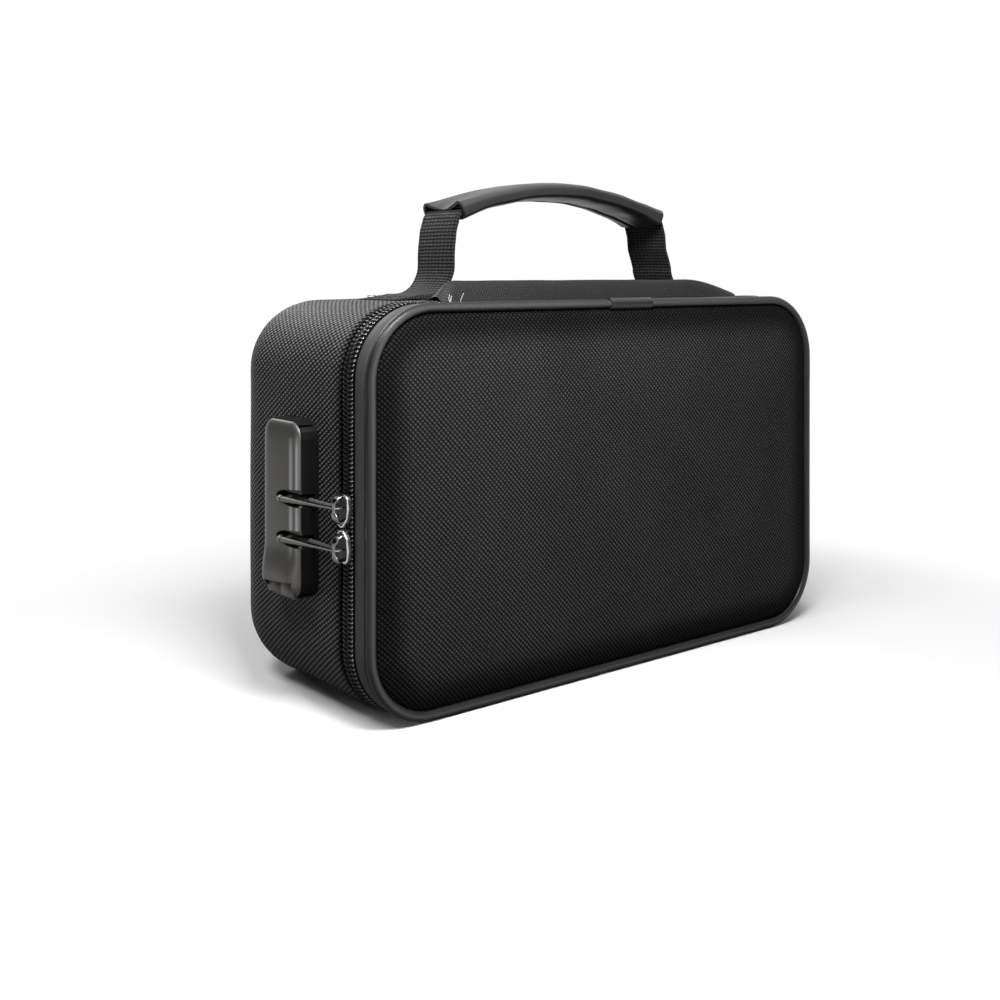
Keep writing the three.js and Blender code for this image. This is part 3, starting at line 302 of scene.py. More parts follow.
def make_piece(name, bm, materials, body=None, stands_for=(), sharp=50):
    """Makes a piece of a mesh drawn in millimetres. It rides on a body and takes its finish from a slot."""
    stretch(bm, (0.001, 0.001, 0.001))
    mesh = bpy.data.meshes.new(name)
    bm.to_mesh(mesh)
    bm.free()
    for material in materials if isinstance(materials, (list, tuple)) else [materials]:
        mesh.materials.append(material)
    mesh.shade_smooth()
    mesh.set_sharp_from_angle(angle=radians(sharp))
    piece = bpy.data.objects.new(name, mesh)
    bpy.context.scene.collection.objects.link(piece)
    if body:
        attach(piece, body)
    if stands_for:
        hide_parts(*stands_for)
    return piece


def feed(tree, node, **inputs):
    """Gives a node's inputs a value each, or another node's socket. An input is named with _ for a space,
    or i and its number. A node stands for its first socket."""
    for key, value in inputs.items():
        numbered = key[0] == "i" and key[1:].isdigit()
        socket = node.inputs[int(key[1:])] if numbered else node.inputs[key.replace("_", " ")]
        if isinstance(value, bpy.types.Node):
            value = value.outputs[0]
        if isinstance(value, bpy.types.NodeSocket):
            tree.links.new(value, socket)
        else:
            socket.default_value = value


def add(tree, kind, settings=None, **inputs):
    """Adds a shader node with its settings, and feeds its inputs."""
    made = tree.nodes.new("ShaderNode" + kind)
    for key, value in (settings or {}).items():
        setattr(made, key, value)
    feed(tree, made, **inputs)
    return made


def maths(tree, operation, *values, clamp=False):
    """A sum of numbers or sockets."""
    inputs = {f"i{n}": value for n, value in enumerate(values)}
    return add(tree, "Math", {"operation": operation, "use_clamp": clamp}, **inputs).outputs[0]


def mix_colour(tree, factor, a, b, kind="MIX"):
    settings = {"data_type": "RGBA", "blend_type": kind}
    return add(tree, "Mix", settings, i0=factor, i6=a, i7=b).outputs[2]


def grey(value):
    return (value, value, value, 1)


def new_material(name, **shader):
    """A material with its shader's plain values set, its node tree and its shader node."""
    material = bpy.data.materials.new(name)
    material.use_nodes = True
    tree = material.node_tree
    tree.nodes.clear()
    node = add(tree, "BsdfPrincipled", **shader)
    add(tree, "OutputMaterial", Surface=node)
    return material, tree, node


def here(tree):
    """The place on the piece, for a texture."""
    return add(tree, "TexCoord").outputs["Object"]


def speckle(tree, place, scale, detail):
    return add(tree, "TexNoise", Vector=place, Scale=scale, Detail=detail)


def marked(tree, name):
    """A number that the mesh carries on its points."""
    return add(tree, "Attribute", {"attribute_name": name}).outputs["Fac"]


def dress(tree, shader, tone, rough, height, depth):
    """Gives a shader its colour, its roughness, and bumps with a depth in millimetres."""
    bump = add(tree, "Bump", Strength=1, Distance=depth / 1000, Height=height)
    feed(tree, shader, Base_Color=tone, Roughness=rough, Normal=bump)


def new_group(name, inputs, outputs):
    """A node group, what it is given, and its end node. An input without a value is a place."""
    group = bpy.data.node_groups.new(name, "ShaderNodeTree")
    for label, value in inputs:
        kind = "NodeSocketVector" if value is None else "NodeSocketFloat"
        socket = group.interface.new_socket(name=label, in_out="INPUT", socket_type=kind)
        if value is not None:
            socket.default_value = value
    for label in outputs:
        group.interface.new_socket(name=label, in_out="OUTPUT", socket_type="NodeSocketFloat")
    given = group.nodes.new("NodeGroupInput").outputs
    return group, given, group.nodes.new("NodeGroupOutput")


def wandering(tree, place, scale, by):
    """The parts of a map that noise pushes about a little, as threads never lie quite straight."""
    wander = speckle(tree, place, scale, 2).outputs["Color"]
    pushed = add(tree, "VectorMath", {"operation": "MULTIPLY_ADD"}, i0=wander, i1=(by, by, 0), i2=place)
    return add(tree, "SeparateXYZ", Vector=pushed).outputs


# Basket weave: thread crossings that stand up in turn, with thicker and thinner threads.
weave, given, end = new_group(
    "basket weave", [("Map", None), ("Repeat", 1.5), ("Unevenness", 0.3)], ["Height", "Thread"],
)
calc = partial(maths, weave)
split = wandering(weave, given["Map"], 0.35, 0.25)
waves = []
for n in (0, 1):
    turns = calc("DIVIDE", split[n], given["Repeat"])
    waves.append(calc("SINE", calc("MULTIPLY", turns, 2 * pi)))
diagonal = calc("DIVIDE", calc("ADD", split[0], split[1]), given["Repeat"])
slant = calc("COSINE", calc("MULTIPLY", diagonal, 2 * pi))
crossing = calc("MULTIPLY_ADD", slant, -0.28, calc("MULTIPLY", calc("MULTIPLY", *waves), 0.72))
high = calc("MULTIPLY_ADD", crossing, 0.5, 0.5)
fibre = speckle(weave, given["Map"], 1.1, 3)
uneven = calc("MULTIPLY", calc("SUBTRACT", fibre, 0.5), given["Unevenness"])
# Raised crossings are made light in tone and the gaps dark: painted glints and painted shade over the weave's
# own pattern.
lit = calc("ADD", calc("POWER", high, 4.0), uneven, clamp=True)
feed(weave, end, Height=calc("ADD", high, uneven), Thread=lit)


def cloth_material(
    name, dark, light, repeat, depth=0.2, roughness=0.5, gloss=0.07, sheen=0.02, painted_shade=0.0,
):
    """Woven cloth with dark gaps and lighter threads: painted shade in the gaps and painted glints on the
    raised threads. Where the mesh's attribute "pressed" is high, it is darkened by painted shade, as dark as in
    a seam."""
    material, tree, shader = new_material(
        name, Sheen_Weight=sheen, Sheen_Roughness=0.4, Specular_IOR_Level=gloss,
    )
    lie = add(tree, "UVMap", {"uv_map": "weave"})
    cloth = add(tree, "Group", {"node_tree": weave}, Map=lie, Repeat=repeat, Unevenness=0.45).outputs
    patches = speckle(tree, here(tree), 28, 3)
    tone = mix_colour(tree, cloth["Thread"], grey(dark), grey(light))
    tone = mix_colour(tree, 1.0, tone, mix_colour(tree, patches, grey(0.7), grey(1.3)), "MULTIPLY")
    if painted_shade:
        shade_amount = maths(tree, "MULTIPLY", marked(tree, "painted_shade"), painted_shade)
        tone = mix_colour(tree, 1.0, tone, mix_colour(tree, shade_amount, grey(1), grey(0.02)), "MULTIPLY")
    rough = maths(tree, "MULTIPLY_ADD", cloth["Thread"], -0.15, roughness + 0.15)
    dress(tree, shader, tone, rough, cloth["Height"], depth)
    return material


nylon = cloth_material(
    "woven nylon", 0.004, 0.23, repeat=1.85, roughness=0.40, gloss=0.06, sheen=0, painted_shade=0.9,
)

start_point = (REAR_Y, REAR_ROUND)
bm, ring = first_ring(start_point)
last, _ = loft(bm, ring, [(REAR_Y, inset) for inset in (36, 44, 51, INNERMOST)], (start_point, 0))
for v in bm.verts:
    v[bm.verts.layers.float["run"]] = 0
fill(bm, last)
outer = quarter(REAR_Y, REAR_ROUND, ROUND_Y, 0, 12)
outer += [(ROUND_Y - RING_GAP * i, 0) for i in range(1, 13)]
turned_in = ((3.0, 0), (1.5, 0), (0.7, 0.12), (0.2, 0.42), (0, 0.85))
outer += [(SHELL_EDGE_Y + y, inset) for y, inset in turned_in]
ring, run = loft(bm, ring, outer, (start_point, 0))
skin = bm.verts[:]
inner = [(SHELL_EDGE_Y + 0.2, 1.3), (SHELL_EDGE_Y + 0.7, SHELL_T), (-10, SHELL_T), (ROUND_Y, SHELL_T)]
inner += quarter(ROUND_Y, SHELL_T, REAR_Y - SHELL_T, REAR_ROUND, 8, "in")
ring, _ = loft(bm, ring, inner, (outer[-1], run))
fill(bm, ring)
face_out(bm)
bm.normal_update()
soften(skin, height=0.35, size=34, seed=3.1)
lay_weave(bm, along_share=0.68)
# The cloth is darkened towards its turned-in front edge at the zip: painted shade.
painted_shade = bm.verts.layers.float.new("painted_shade")
for v in bm.verts:
    v[painted_shade] = exp(-max(0, v.co.y - SHELL_EDGE_Y) / SEAM_FADE)
rear_cloth = make_piece("rear_shell_cloth", bm, nylon, "case", ["rear_shell"])


# Felt and silver lining of the rear half
# Heat-resisting felt lies behind the shell, and a glass cloth with a silver coat is glued over it.
INSULATION = (1.9, 4.9)
LINING = (5.2, 6.0)


def closed_loft(begin, profile):
    """A closed mesh between two flat ends, from the depth and inset of each ring."""
    bm, ring = first_ring(begin, 8.0, 10)
    fill(bm, ring)
    ring, _ = loft(bm, ring, profile, (begin, 0))
    fill(bm, ring)
    face_out(bm)
    return bm


def layer(edge_y, outer_inset, inner_inset):
    """A closed layer of the rear half, open to the front."""
    begin = (REAR_Y - outer_inset, REAR_ROUND)
    reach = quarter(*begin, ROUND_Y, outer_inset, 8) + [(0, outer_inset), (edge_y + 0.3, outer_inset)]
    reach += [(edge_y, (outer_inset + inner_inset) / 2), (edge_y + 0.3, inner_inset)]
    reach += [(0, inner_inset), (ROUND_Y, inner_inset)]
    reach += quarter(ROUND_Y, inner_inset, REAR_Y - inner_inset, REAR_ROUND, 8, "in")
    return closed_loft(begin, reach)


def grain_material(name, colour, size, depth, roughness, variation=0.2, highlight_grey=None, gloss=0.5, metal=0.0):
    """A plain finish with a fine grain, in tone, in roughness and as bumps. Where the mesh's attribute
    "rubbed" is high, it is lightened to the grey given, a painted highlight."""
    material, tree, node = new_material(name, Specular_IOR_Level=gloss, Metallic=metal)
    fine = speckle(tree, here(tree), 1000 / size, 4)
    broad = speckle(tree, here(tree), 45, 2)
    both = maths(tree, "MULTIPLY_ADD", fine, 0.5, maths(tree, "MULTIPLY", broad, 0.5))
    low, high = (tuple(min(1, c * share) for c in colour) + (1,) for share in (1 - variation, 1 + variation))
    tone = mix_colour(tree, both, low, high)
    if highlight_grey:
        tone = mix_colour(tree, marked(tree, "painted_highlight"), tone, grey(highlight_grey))
    dress(tree, node, tone, maths(tree, "MULTIPLY_ADD", both, 0.16, roughness - 0.08), fine, depth)
    return material


felt = grain_material("grey felt", (0.30, 0.31, 0.32), 0.6, 0.3, 0.95, gloss=0.2)
silver_cloth = cloth_material(
    "silver glass cloth", 0.30, 0.62, repeat=1.0, depth=0.05, roughness=0.35, gloss=0.5, sheen=0,
)

bm = layer(SHELL_EDGE_Y + 6.3, *INSULATION)
felt_rear = make_piece("rear_felt", bm, felt, "case", ["rear_insulation"])
bm = layer(SHELL_EDGE_Y + 0.3, *LINING)
bm.normal_update()
lay_weave(bm, facing=0.9)
lining_rear = make_piece("rear_silver_lining", bm, silver_cloth, "case", ["rear_lining"])


# Lid
# Its panel is the same nylon over a thin moulded board. The panel swells a little in the middle and
# rounds off all along the piping, under which its edge is sewn.
FRONT_Y = -50
CROWN = 2.8
LID_EDGE_Y = -40.11
LID_WALL = 2.9
PANEL_EDGE = 3.35
# The panel's runs are counted from below nought, so that its weave is laid flat. Its seam lies 10 mm on.
FLAT_RUN = -200
SEAM_RUN = 10
# How far in the panel's painted shade along the piping reaches.
BORDER_W = 8


def crown(inset):
    """Depth of the panel's surface at an inset."""
    t = clamped((inset - PANEL_EDGE) / 58)
    rolled_off = 0.9 * exp(-(inset - PANEL_EDGE) / 1.2) + 1.3 * exp(-(inset - PANEL_EDGE) / 5.5)
    return FRONT_Y - 0.45 + rolled_off - (CROWN - 0.6) * (1 - (1 - t) ** 2.2)


begin = (-41.0, LID_WALL)
bm, ring = first_ring(begin)
wall = [(-44, LID_WALL), (-46.2, LID_WALL + 0.05), (-47.4, 3.3), (-48.3, PANEL_EDGE + 0.25)]
insets = [3.75, 4.1, 4.6, 5.2, 6, 7, 8.5, 10.5, 13, 16, 20, 25, 30, 36, 42, 48, 53, INNERMOST]
panel = [(crown(i), i) for i in insets]
ring, _ = loft(bm, ring, wall + panel, (begin, FLAT_RUN))
fill(bm, ring)
face_along(bm, 1, -1)
soften([v for v in bm.verts if v.co.y < FRONT_Y - 0.5], height=0.25, size=30, seed=8.2)
lay_weave(bm)
# The panel is darkened along the piping, fading inward over about BORDER_W: painted shade.
painted_shade = bm.verts.layers.float.new("painted_shade")
for v in bm.verts:
    seam_gap = v[bm.verts.layers.float["run"]] - FLAT_RUN - SEAM_RUN
    v[painted_shade] = exp(-(max(0, seam_gap) / BORDER_W) ** 3)
thicken(bm, 1.1)
lid_nylon = cloth_material(
    "lid nylon", 0.012, 0.115, repeat=1.85, depth=0.12, gloss=0.02, sheen=0, painted_shade=0.74,
)
lid_cloth = make_piece("lid_cloth", bm, lid_nylon, "lid", ["front_shell"])

against_panel = [(crown(i) + 1.9, i) for i in (7.4, 10, 20, 36, 48, INNERMOST)]
bm = closed_loft((-46.0, 7.2), [(-48.2, 6.6)] + against_panel)
felt_lid = make_piece("lid_felt", bm, felt, "lid", ["front_insulation"])

tray = [(-45.6, 30), (-45.6, 8), (-45.3, 6.6), (-44.2, 6.3), (-44.0, 4.7), (-40.4, 4.6), (LID_EDGE_Y, 5.0)]
tray += [(-40.4, 5.4), (-43.2, 5.5), (-43.5, 7.1), (-44.5, 8), (-44.8, 30), (-44.8, INNERMOST)]
bm = closed_loft((-45.6, INNERMOST), tray)
bm.normal_update()
lay_weave(bm, facing=0.7)
lining_lid = make_piece("lid_silver_lining", bm, silver_cloth, "lid", ["front_lining"])


# Piping and its sleeve
# A round welt of dark leatherette is sewn round the lid's front edge. Its two ends meet on the top,
# under a short sleeve of the same stuff.
PIPING_Y = -48.2
PIPING_R = 1.8
HIGHLIGHT_RUN = 4.75 * PIPING_R
SLEEVE_X = -6.5

leather, given, end = new_group("leather grain", [("Position", None), ("Size", 1.0)], ["Height", "Tone"])
scaled = add(leather, "VectorMath", {"operation": "SCALE"}, i0=given["Position"], Scale=1000)
cell_scale = maths(leather, "DIVIDE", 1.0, given["Size"])
cells = add(leather, "TexVoronoi", {"feature": "SMOOTH_F1"}, Vector=scaled, Scale=cell_scale)
creases = speckle(leather, scaled, 0.9, 4)
broad = speckle(leather, scaled, 0.06, 2)
raised = maths(leather, "MULTIPLY_ADD", creases, 0.5, maths(leather, "MULTIPLY", cells, -0.6))
feed(leather, end, Height=raised, Tone=broad)


def leather_material(name, dark, light, size, depth, roughness, gloss, painted_highlight=None):
    """Leatherette. Where the mesh's attribute "rubbed" is high, it is lightened to the tone given: a painted
    highlight.
    """
    material, tree, node = new_material(name, Specular_IOR_Level=gloss)
    grain = add(tree, "Group", {"node_tree": leather}, Position=here(tree), Size=size).outputs
    tone = mix_colour(tree, grain["Tone"], grey(dark), grey(light))
    if painted_highlight:
        tone = mix_colour(tree, marked(tree, "painted_highlight"), tone, grey(painted_highlight))
    rough = maths(tree, "MULTIPLY_ADD", grain["Tone"], 0.2, roughness - 0.1)
    dress(tree, node, tone, rough, grain["Height"], depth)
    return material


piping_leather = leather_material("piping leatherette", 0.010, 0.020, 0.7, 0.012, 0.30, 0.20, painted_highlight=0.08)


def closed_band(section):
    """A band round the outline. Its section goes from its first point round to the same point again."""
    bm, ring = first_ring(section[0], 3.0, 16)
    loft(bm, ring, section[1:], (section[0], 0))
    merge(bm, 0.001)
    face_out(bm)
    bm.normal_update()
    return bm


angles = [2 * pi * n / 20 for n in range(21)]
bm = closed_band([(PIPING_Y + PIPING_R * sin(a), PIPING_R - PIPING_R * cos(a)) for a in angles])
# The piping is lightened in a band along its inner front side: a painted highlight.
painted_highlight = bm.verts.layers.float.new("painted_highlight")
for v in bm.verts:
    v[painted_highlight] = hill(v[bm.verts.layers.float["run"]], HIGHLIGHT_RUN, 0.75)
soften(bm.verts, 0.08, 12, 5.0)
make_piece("piping_welt", bm, piping_leather, "lid", ["lid_piping"])

bm = bmesh.new()
bmesh.ops.create_circle(bm, segments=20, radius=PIPING_R + 0.5)
turn_about(bm, "Y", 90)
move(bm, (SLEEVE_X, PIPING_Y, 2 * HALF_H - PIPING_R))
edges = bm.edges[:]
for step in (0.25, 0.6, 3.2, 6.9, 6.9, 3.3, 0.6, 0.25):
    verts, edges = grow(bm, edges)
    move(bm, (step, 0, 0), verts)
face_out(bm)
thicken(bm, 0.25)
sleeve_leather = leather_material("sleeve leatherette", 0.016, 0.03, 0.7, 0.03, 0.32, 0.35)
make_piece("piping_sleeve", bm, sleeve_leather, "lid", ["piping_joint_sleeve"])


# Binding
# A band of smooth leatherette goes round the lid between the piping and the zip. It is folded over
# the board's edge and swells a little in the middle.
binding_leather = leather_material("binding leatherette", 0.042, 0.066, 0.5, 0.015, 0.50, 0.07)

bm = closed_band([
    (-45.5, 0.6), (-45.0, 0.52), (-43.6, 0.42), (-42.2, 0.44), (-40.9, 0.55), (-40.3, 0.8),
    (LID_EDGE_Y, 1.15), (-40.4, 1.6), (-43, 1.7), (-45.5, 1.7), (-45.85, 1.3), (-45.8, 0.85), (-45.5, 0.6),
])
soften(bm.verts, 0.1, 14, 1.4)
make_piece("binding_band", bm, binding_leather, "lid", ["lid_binding"])


# Zip
# A nylon coil zip runs from one end of the fabric hinge down round the base and up to the other. Each
# half is a wire coil sewn with two rows of thread to a woven tape.
ZIP_Y = -36.71
TAPE_FRONT_Y = -45.6
TAPE_REAR_Y = -25.7
TAPE_GAP = 0.2
TAPE_T = 0.6
PITCH = 1.5
COIL_WIRE_R = 0.33
COIL_H = 1.5
COIL_W = 3.3
COIL_LIFT = 0.9
TAPE_INSET = 2.0
HINGE_HALF = 78


def xz(x, z):
    return Vector((x, 0, z))


def measured(points):
    """A line through points in x and z, with the distance along it to each and the direction off it."""
    distances = [0.0]
    for a, b in zip(points, points[1:]):
        distances.append(distances[-1] + (b - a).length)
    offs = []
    for n in range(len(points)):
        d = (points[min(n + 1, len(points) - 1)] - points[max(n - 1, 0)]).normalized()
        offs.append(xz(d.z, -d.x))
    return points, distances, offs


def bend_along(bm, line):
    """Bends a mesh that lies straight along x so that it follows a line. Its z stands off the line."""
    points, distances, offs = line
    for v in bm.verts:
        n = min(max(bisect_right(distances, v.co.x) - 1, 0), len(points) - 2)
        share = (v.co.x - distances[n]) / (distances[n + 1] - distances[n])
        place = points[n].lerp(points[n + 1], share)
        off = offs[n].lerp(offs[n + 1], clamped(share)).normalized()
        v.co = place + off * v.co.z + Vector((0, v.co.y, 0))


def arc(x, z, radius, first, last, steps):
    """Points on a round in x and z, between two angles in degrees."""
    angles = [radians(first + (last - first) * n / steps) for n in range(steps + 1)]
    return [xz(x + radius * cos(a), z + radius * sin(a)) for a in angles]


def zip_route(inset):
    """From the hinge's left end down, along the base and up to its right end."""
    radius = CORNER - inset
    top = 2 * HALF_H - inset
    points = [xz(-HINGE_HALF, top), xz(-CORE_X + 0.5, top)]
    corners = [(-CORE_X, CORE_Z, 90), (-CORE_X, -CORE_Z, 180), (CORE_X, -CORE_Z, 270), (CORE_X, CORE_Z, 0)]
    for x, z, first in corners:
        points += arc(x, HALF_H + z, radius, first, first + 90, 45)
    return measured(points + [xz(HINGE_HALF, top)])


def lay_flat_map(bm, length=1):
    """A map in millimetres of a piece that still lies straight and flat, with its own length over y."""
    uv = bm.loops.layers.uv.new("weave")
    for face in bm.faces:
        for loop in face.loops:
            loop[uv].uv = (loop.vert.co.x, loop.vert.co.y * length)


def strip(length, y0, y1, z0, z1, spacing=2.0, across=3):
    """A flat strip along x with soft edges, cut into short lengths."""
    bm = grid(length, y1 - y0, max(1, round(length / spacing)), across)
    move(bm, (length / 2, (y0 + y1) / 2, z1))
    thicken(bm, z1 - z0)
    face_out(bm)
    return bm


def lift_to_coil(verts, side):
    """Raises the tape under the coil, and lets it fall to the edges that it is sewn to."""
    near, far = (2.6, 3.6) if side < 0 else (2.9, 4.6)
    for v in verts:
        v.co.z += COIL_LIFT * eased(clamped((far - abs(v.co.y - ZIP_Y)) / (far - near)))


zip_line = zip_route(TAPE_INSET)
ZIP_LENGTH = zip_line[1][-1]
tape_weave = cloth_material("zip tape", 0.002, 0.016, repeat=0.9, depth=0.06, roughness=0.6, gloss=0.05)
coil_plastic = grain_material("zip coil nylon", (0.007, 0.007, 0.007), 0.8, 0.01, 0.3, gloss=0.2)
# The near-white finish of the coil's outer bends is a painted glint.
coil_painted_glint = grain_material("zip coil nylon painted glint", (0.55, 0.55, 0.54), 0.8, 0.01, 0.2, gloss=0.8)

for half, side, body, y0, y1, sewn_to, cut, used in (
    ("front", -1, "lid", TAPE_FRONT_Y, ZIP_Y - TAPE_GAP, "lid_cloth", 0.010, 0.0049),
    ("rear", 1, "case", ZIP_Y + TAPE_GAP, TAPE_REAR_Y, "rear_shell_cloth", 0.012, 0.0060),
):
    bm = strip(ZIP_LENGTH, y0, y1, -TAPE_T, 0, 2.0, 12)
    lay_flat_map(bm)
    lift_to_coil(bm.verts, side)
    bend_along(bm, zip_line)
    tape = make_piece(f"zip_tape_cloth_{half}", bm, tape_weave, body, [f"zip_tape_{half}"])

    bm = bmesh.new()
    wire = bmesh.ops.create_circle(bm, segments=5, radius=COIL_WIRE_R)["verts"]
    for axis in "XYX":
        turn_about(bm, axis, 90, wire)
    radius = COIL_H / 2 - COIL_WIRE_R
    move(bm, (0, 0, radius), wire)
    bmesh.ops.spin(
        bm, geom=bm.verts[:] + bm.edges[:], cent=(0, 0, 0), axis=(1, 0, 0),
        dvec=(PITCH / 8, 0, 0), angle=2 * pi, steps=8,
    )
    for v in bm.verts:
        v.co.y *= (COIL_W / 2 - COIL_WIRE_R) / radius if abs(v.co.y) > 0.01 else 1
    # The outer bends of the front half's turns take a near-white finish: painted glints.
    for f in bm.faces:
        middle = f.calc_center_median()
        f.material_index = 1 if side < 0 and middle.y > COIL_W / 2 - 0.6 and middle.z > 0.1 else 0
    bmesh.ops.spin(
        bm, geom=bm.verts[:] + bm.edges[:] + bm.faces[:], cent=(0, 0, 0), axis=(1, 0, 0),
        dvec=(PITCH, 0, 0), angle=0, steps=int(ZIP_LENGTH / PITCH) - 2, use_duplicate=True,
    )
    merge(bm, 0.001)
    face_out(bm)
    if side < 0:
        stretch(bm, (1, -1, 1))
        bmesh.ops.reverse_faces(bm, faces=bm.faces)
    middle = ZIP_Y + side * (COIL_W / 2 - 0.15)
    move(bm, (0.3 if side < 0 else 0.3 + PITCH / 2, middle, COIL_H / 2 + COIL_LIFT))
    bend_along(bm, zip_line)
    finishes = [coil_plastic, coil_painted_glint]
    make_piece(f"zip_coil_turns_{half}", bm, finishes, body, [f"zip_coil_{half}"], sharp=80)


# Fabric hinge
# One strip of the nylon joins the lid to the case along the top, between the zip's two ends. It
# stands up in a soft fold, and bends there when the lid opens.
HINGE_Y = -35.91
CREST = 147.2
CREST_END = 141.6
SLOPE_LEFT = 7
SLOPE_RIGHT = 30
# Each foot's place in y and z, and the share of the way to the crest over which the cloth stays level.
FOOT_FRONT = (-44.4, 138.0, 0.35)
FOOT_REAR = (-27.2, 140.9, 0.4)

gusset_nylon = cloth_material("hinge nylon", 0.008, 0.050, repeat=1.2, depth=0.1, roughness=0.42, gloss=0.15)

bm = grid(2 * HINGE_HALF, 1, 104, 26)
lay_flat_map(bm, 27)
for v in bm.verts:
    end_share = clamped((HINGE_HALF - abs(v.co.x)) / (SLOPE_RIGHT if v.co.x > 0 else SLOPE_LEFT))
    crest = CREST_END + (CREST - CREST_END) * sin(pi / 2 * end_share)
    foot_y, foot_z, level = FOOT_FRONT if v.co.y < 0 else FOOT_REAR
    s = 1 - 2 * abs(v.co.y)
    rise = sin(pi / 2 * max(0, (s - level) / (1 - level)))
    v.co.y = foot_y + (HINGE_Y - foot_y) * s ** 0.8
    v.co.z = foot_z + (crest - foot_z) * rise
    v.co.z += 0.25 * noise.noise(Vector((v.co.x / 16, v.co.y / 8, 2.2)))
face_along(bm, 2, 1)
thicken(bm, 0.8)
hinge_cloth = make_piece(
    "hinge_cloth", bm, gusset_nylon, None, ["hinge_gusset_rear", "hinge_gusset_front"],
)
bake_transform(hinge_cloth, "case", "lid", start=(0, -0.0315, 0.143), end=(0, -0.0400, 0.143))


# Lock
# A long box of black painted zinc stands on the left side. Its pressed gunmetal cover is glued on with
# a parting line all round, and has two slots for the zip's pull loops and a hump over the thumb slide.
# The cover's rolled front edge is lightened to a pale grey where its attribute "rubbed" is high: a painted
# highlight.
gunmetal = grain_material(
    "gunmetal paint", (0.080, 0.077, 0.072), 0.5, 0.003, 0.42, variation=0.06, highlight_grey=0.36, metal=0.6,
)
black_zinc = grain_material("black painted zinc", (0.006, 0.006, 0.006), 0.5, 0.004, 0.33, gloss=0.25)

LOCK_MID_Y = -6.8
LOCK_MID_Z = 69.2
LOCK_HALF_Y = 12.3
LOCK_HALF_Z = 30.5
LOCK_CORNER = 6.0
HUMP = 1.8
PARTING_X = 121.5
PULL_LEVELS = (72.8, 59.0)
SLOT_UP = 0.8
SLOT_Y = -12.6
SLOT_HALF = Vector((3.0, 14.2))
NOTCH_TOP = -23.9
NOTCH_LEAN = 0.095
NOTCH_FRONT = -9.9
NOTCH_REAR = 8.0


def paint_solid(name, material):
    """Gives a CAD solid that stays in view its finish."""
    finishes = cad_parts[name].data.materials
    finishes.clear()
    finishes.append(material)


def hump_at(x):
    """How far the cover swells outward over the thumb slide, at a height from the lock's middle."""
    return HUMP * eased(clamped((-12.5 - x) / 10.5)) * eased(clamped((x + 30.2) / 5.0))


def cut_across(bm, place, facing=(0, 1, 0)):
    """Divides the faces along a plane."""
    geom = bm.verts[:] + bm.edges[:] + bm.faces[:]
    bmesh.ops.bisect_plane(bm, geom=geom, plane_co=place, plane_no=facing)


def in_order(bm):
    """Lists the points, edges and faces by their places. Their order differs from run to run, and merging
    goes by it."""
    along = Vector((1, 0.37, 0.11))
    bm.verts.sort(key=lambda v: v.co.dot(along))
    bm.edges.sort(key=lambda e: (e.verts[0].co + e.verts[1].co).dot(along))
    bm.faces.sort(key=lambda f: f.calc_center_median().dot(along))


def trim_slot(bm, level):
    """Opens a rounded slot at a height and sets its edge on an even curve."""
    middle, half = Vector((level - LOCK_MID_Z + SLOT_UP, SLOT_Y)), SLOT_HALF

    def outward(p):
        return Vector(((p.x - middle.x) / half.x, (p.y - middle.y) / half.y))

    gone = [f for f in bm.faces if outward(f.calc_center_median()).length < 1]
    bmesh.ops.delete(bm, geom=gone, context="FACES")
    for v in bm.verts:
        d = outward(v.co)
        if 0.7 < d.length < 1.3 and v.is_boundary and v.co.z > PARTING_X + 0.02:
            if abs(d.y) < 0.9:
                v.co.x = middle.x + half.x * copysign(sqrt(1 - d.y ** 2), d.x)
            else:
                v.co.y = middle.y + half.y * copysign(sqrt(max(0, 1 - d.x ** 2)), d.y)
    in_order(bm)
    merge(bm, 0.05)
    bmesh.ops.dissolve_degenerate(bm, dist=0.05, edges=bm.edges)


paint_solid("lock_housing", black_zinc)
# The cover is drawn lying down: x goes up from the lock's middle, and z out of the bag's side. Its rings
# go from the parting line round its rolled edge and over the face.
rolled = [
    (PARTING_X, 1.0), (121.55, 0.6), (121.75, 0.42), (122.02, 0.48), (122.28, 0.66), (122.5, 0.92),
    (122.7, 1.25), (122.87, 1.62), (123.01, 2.03), (123.13, 2.47), (123.23, 2.93), (123.31, 3.4),
    (123.38, 3.9),
]
rolled += [(123.45 + 0.2 * (1 - ((7.2 - 0.6 * n) / 7.2) ** 2), 4.5 + 0.6 * n) for n in range(13)]
bm = rounded_loop(LOCK_HALF_Z, LOCK_HALF_Y, LOCK_CORNER, 12, (89, 23))
start_of = bm.verts.layers.float_vector.new("start")
painted_highlight = bm.verts.layers.float.new("painted_highlight")
for v in bm.verts:
    v[start_of] = v.co
core_x, core_y = LOCK_HALF_Z - LOCK_CORNER, LOCK_HALF_Y - LOCK_CORNER
verts, edges = bm.verts[:], bm.edges[:]
for height, inset in rolled:
    if height > PARTING_X:
        verts, edges = grow(bm, edges)
    radius = max(LOCK_CORNER - inset, 0.3)
    fx = (LOCK_HALF_Z - inset - radius) / core_x
    fy = (LOCK_HALF_Y - inset - radius) / core_y
    for v in verts:
        at = v[start_of]
        cx, cy = max(-core_x, min(core_x, at.x)), max(-core_y, min(core_y, at.y))
        out_x, out_y = (at.x - cx) / LOCK_CORNER, (at.y - cy) / LOCK_CORNER
        v.co = (cx * fx + out_x * radius, cy * fy + out_y * radius, height)
        # A painted highlight: two light bands round the rolled edge, on its front side only, fading near its
        # ends.
        front = clamped(-at.y / 8) * clamped((27 - at.x) / 6) * clamped((at.x + 17) / 8)
        v[painted_highlight] = front * (hill(inset, 1.6, 0.55) + hill(inset, 4.4, 0.85))
